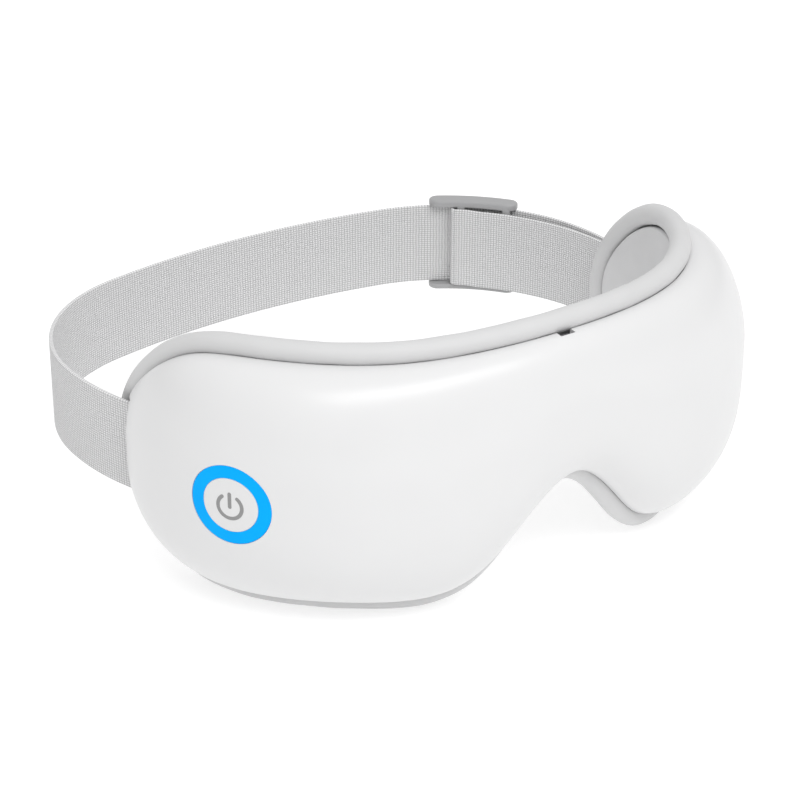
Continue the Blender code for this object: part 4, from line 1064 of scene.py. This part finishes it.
def build_materials():
    """Every material by its slot's name; pad_grey is a second skin for the panel's slot."""
    return {
        "shell_white": moulded("looks_shell", (0.695, 0.695, 0.698), 0.3, vary=0.006, bump=0.012),
        "button_white": moulded("looks_button", (0.695, 0.695, 0.698), 0.3, vary=0.006, bump=0.02),
        "roll_grey": soft_skin("looks_roll", (0.59, 0.59, 0.593), 0.6, bump=0.12, vary=0.015),
        "panel_grey": soft_skin("looks_panel", (0.6, 0.6, 0.605), 0.72, bump=0.3, vary=0.03),
        "pad_grey": soft_skin("looks_pad", (0.5, 0.5, 0.505), 0.8, pebble=750.0, bump=0.6, vary=0.02,
                              sheen=0.25),
        "frame_grey": moulded("looks_frame", (0.3, 0.3, 0.31), 0.5, vary=0.04, bump=0.2),
        "ring_blue": glowing("looks_ring", (0.0008, 0.38, 0.93), 0.05),
        "mark_grey": moulded("looks_mark", (0.25, 0.25, 0.25), 0.45, vary=0.02),
        "webbing_grey": webbing("looks_webbing", (0.72, 0.72, 0.725)),
        "slider_grey": moulded("looks_slider", (0.35, 0.35, 0.355), 0.42, vary=0.02, bump=0.12,
                               depth=0.00008),
        "steel": moulded("looks_steel", (0.62, 0.62, 0.64), 0.3, 1.0, vary=0.05, bump=0.1),
        "brass": moulded("looks_brass", (0.7, 0.52, 0.25), 0.32, 1.0, vary=0.06, bump=0.1),
        "board_green": circuit_board("looks_board"),
        "black_plastic": moulded("looks_black", (0.035, 0.035, 0.037), 0.5, vary=0.1, bump=0.25),
        "housing_ivory": moulded("looks_housing", (0.7, 0.68, 0.6), 0.5, vary=0.03, bump=0.2),
        "film_amber": moulded("looks_film", (0.5, 0.25, 0.05), 0.35, vary=0.08, bump=0.1),
        "rubber_clear": moulded("looks_rubber", (0.7, 0.72, 0.74), 0.4, vary=0.03, bump=0.15),
        "battery_blue": moulded("looks_battery", (0.08, 0.16, 0.35), 0.38, vary=0.05, bump=0.15),
    }


CARRIED_OVER = {
    "frame_grey": ("inner_frame",),
    "steel": ("screw_left_1", "screw_left_2", "screw_left_3",
              "screw_right_1", "screw_right_2", "screw_right_3",
              "pivot_pin_left", "pivot_pin_right", "charge_socket", "pump_motor", "vibration_motor_left",
              "vibration_motor_right", "valve_plunger"),
    "brass": ("pump_eccentric", "vibration_weight_left", "vibration_weight_right"),
    "board_green": ("main_board", "light_board", "socket_board"),
    "black_plastic": ("tact_switch", "speaker", "socket_tongue", "strap_tab_left", "strap_tab_right"),
    "housing_ivory": ("pump_body", "valve_body"),
    "film_amber": ("heating_film_left", "heating_film_right"),
    "rubber_clear": ("air_bladder_left", "air_bladder_right", "air_tube_left", "air_tube_right",
                     "button_spring"),
    "battery_blue": ("battery",),
}


def dress(item, material):
    """Give a piece this one material."""
    item.data.materials.clear()
    item.data.materials.append(material)


# ---- light and floor

WHITE = (1.0, 1.0, 1.0, 1.0)


def area_light(name, place, towards, size, power):
    data = bpy.data.lights.new(name, "AREA")
    data.shape = "RECTANGLE"
    data.size, data.size_y = size
    data.energy = power
    item = bpy.data.objects.new(name, data)
    item.location = place
    item.rotation_euler = (Vector(towards) - Vector(place)).to_track_quat("-Z", "Y").to_euler()
    scene.collection.objects.link(item)


def build_world(low=0.5, high=0.95, level_height=0.8):
    """Even white surroundings, dimmer at the horizon than overhead."""
    world = bpy.data.worlds.new("studio")
    world.use_nodes = True
    tree = world.node_tree
    sky = tree.nodes["Background"]
    sky.inputs["Color"].default_value = WHITE
    place = tree.nodes.new("ShaderNodeTexCoord")
    parts = tree.nodes.new("ShaderNodeSeparateXYZ")
    level = tree.nodes.new("ShaderNodeMapRange")
    level.inputs["From Max"].default_value = level_height
    level.inputs["To Min"].default_value = low
    level.inputs["To Max"].default_value = high
    tree.links.new(place.outputs["Generated"], parts.inputs[0])
    tree.links.new(parts.outputs["Z"], level.inputs["Value"])
    tree.links.new(level.outputs["Result"], sky.inputs["Strength"])
    scene.world = world


def build_floor(half=6.0, drop=0.0002, glow=0.55):
    """Pale paper sweep; its faint glow keeps shadows on it soft."""
    mesh = bpy.data.meshes.new("floor")
    mesh.from_pydata([(x * half, y * half, 0) for x, y in ((-1, -1), (1, -1), (1, 1), (-1, 1))], [],
                     [(0, 1, 2, 3)])
    floor = bpy.data.objects.new("floor", mesh)
    floor.location.z = -drop
    scene.collection.objects.link(floor)
    paper = moulded("looks_floor", (0.55, 0.55, 0.55), 0.7, vary=0.004, grain=60.0, bump=0.01)
    shader = paper.node_tree.nodes["Principled BSDF"]
    shader.inputs["Emission Color"].default_value = WHITE
    shader.inputs["Emission Strength"].default_value = glow
    dress(floor, paper)


def build_stage():
    build_world()
    area_light("overhead", LIGHT_PLACE, LIGHT_TARGET, LIGHT_SIZE, LIGHT_POWER)
    build_floor()
    scene.view_settings.view_transform = "Standard"


# ---- put together

def place_piece(item, body, nodes, slot, looks):
    """Dress a piece, fix it to its body if one is given and hide the CAD nodes that it stands for."""
    dress(item, looks[slot])
    if body is not None:
        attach(item, body)
    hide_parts(*nodes)


def place_button(looks):
    """Light ring, power button and its symbol."""
    place_piece(build_ring(), "mask", ("light_ring",), "ring_blue", looks)
    place_piece(build_cap(), "power_button", ("button_cap",), "button_white", looks)
    arc, bar = build_marks()
    place_piece(arc, "power_button", ("power_mark_arc",), "mark_grey", looks)
    place_piece(bar, "power_button", ("power_mark_bar",), "mark_grey", looks)


def place_soft_parts(looks):
    """Edge roll, face panel and the two eye pads."""
    roll = build_roll()
    place_piece(roll, "mask", ("cushion_roll",), "roll_grey", looks)
    panel = build_panel()
    place_piece(panel, "mask", ("face_panel",), "panel_grey", looks)
    for side, mark in ((-1, "left"), (1, "right")):
        pad = build_eye_cushion(side, mark)
        place_piece(pad, f"eye_pad_{mark}", (f"eye_cushion_{mark}",), "panel_grey", looks)
        dress(pad, looks["pad_grey"])


def place_strap(looks):
    """Head strap, its sewn return, which is fixed to no body, and the slider."""
    place_piece(build_strap(), "head_strap", ("strap",), "webbing_grey", looks)
    layer, spine = build_strap_return()
    place_piece(layer, None, ("strap_return",), "webbing_grey", looks)
    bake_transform(layer)
    place_piece(build_slider(), "strap_slider", ("slider",), "slider_grey", looks)


def build_all():
    build_camera()
    build_stage()
    looks = build_materials()
    for slot, nodes in CARRIED_OVER.items():
        for node in nodes:
            dress(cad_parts[node], looks[slot])
    place_piece(build_shell(), "mask", ("front_shell",), "shell_white", looks)
    place_soft_parts(looks)
    place_button(looks)
    place_strap(looks)


build_all()
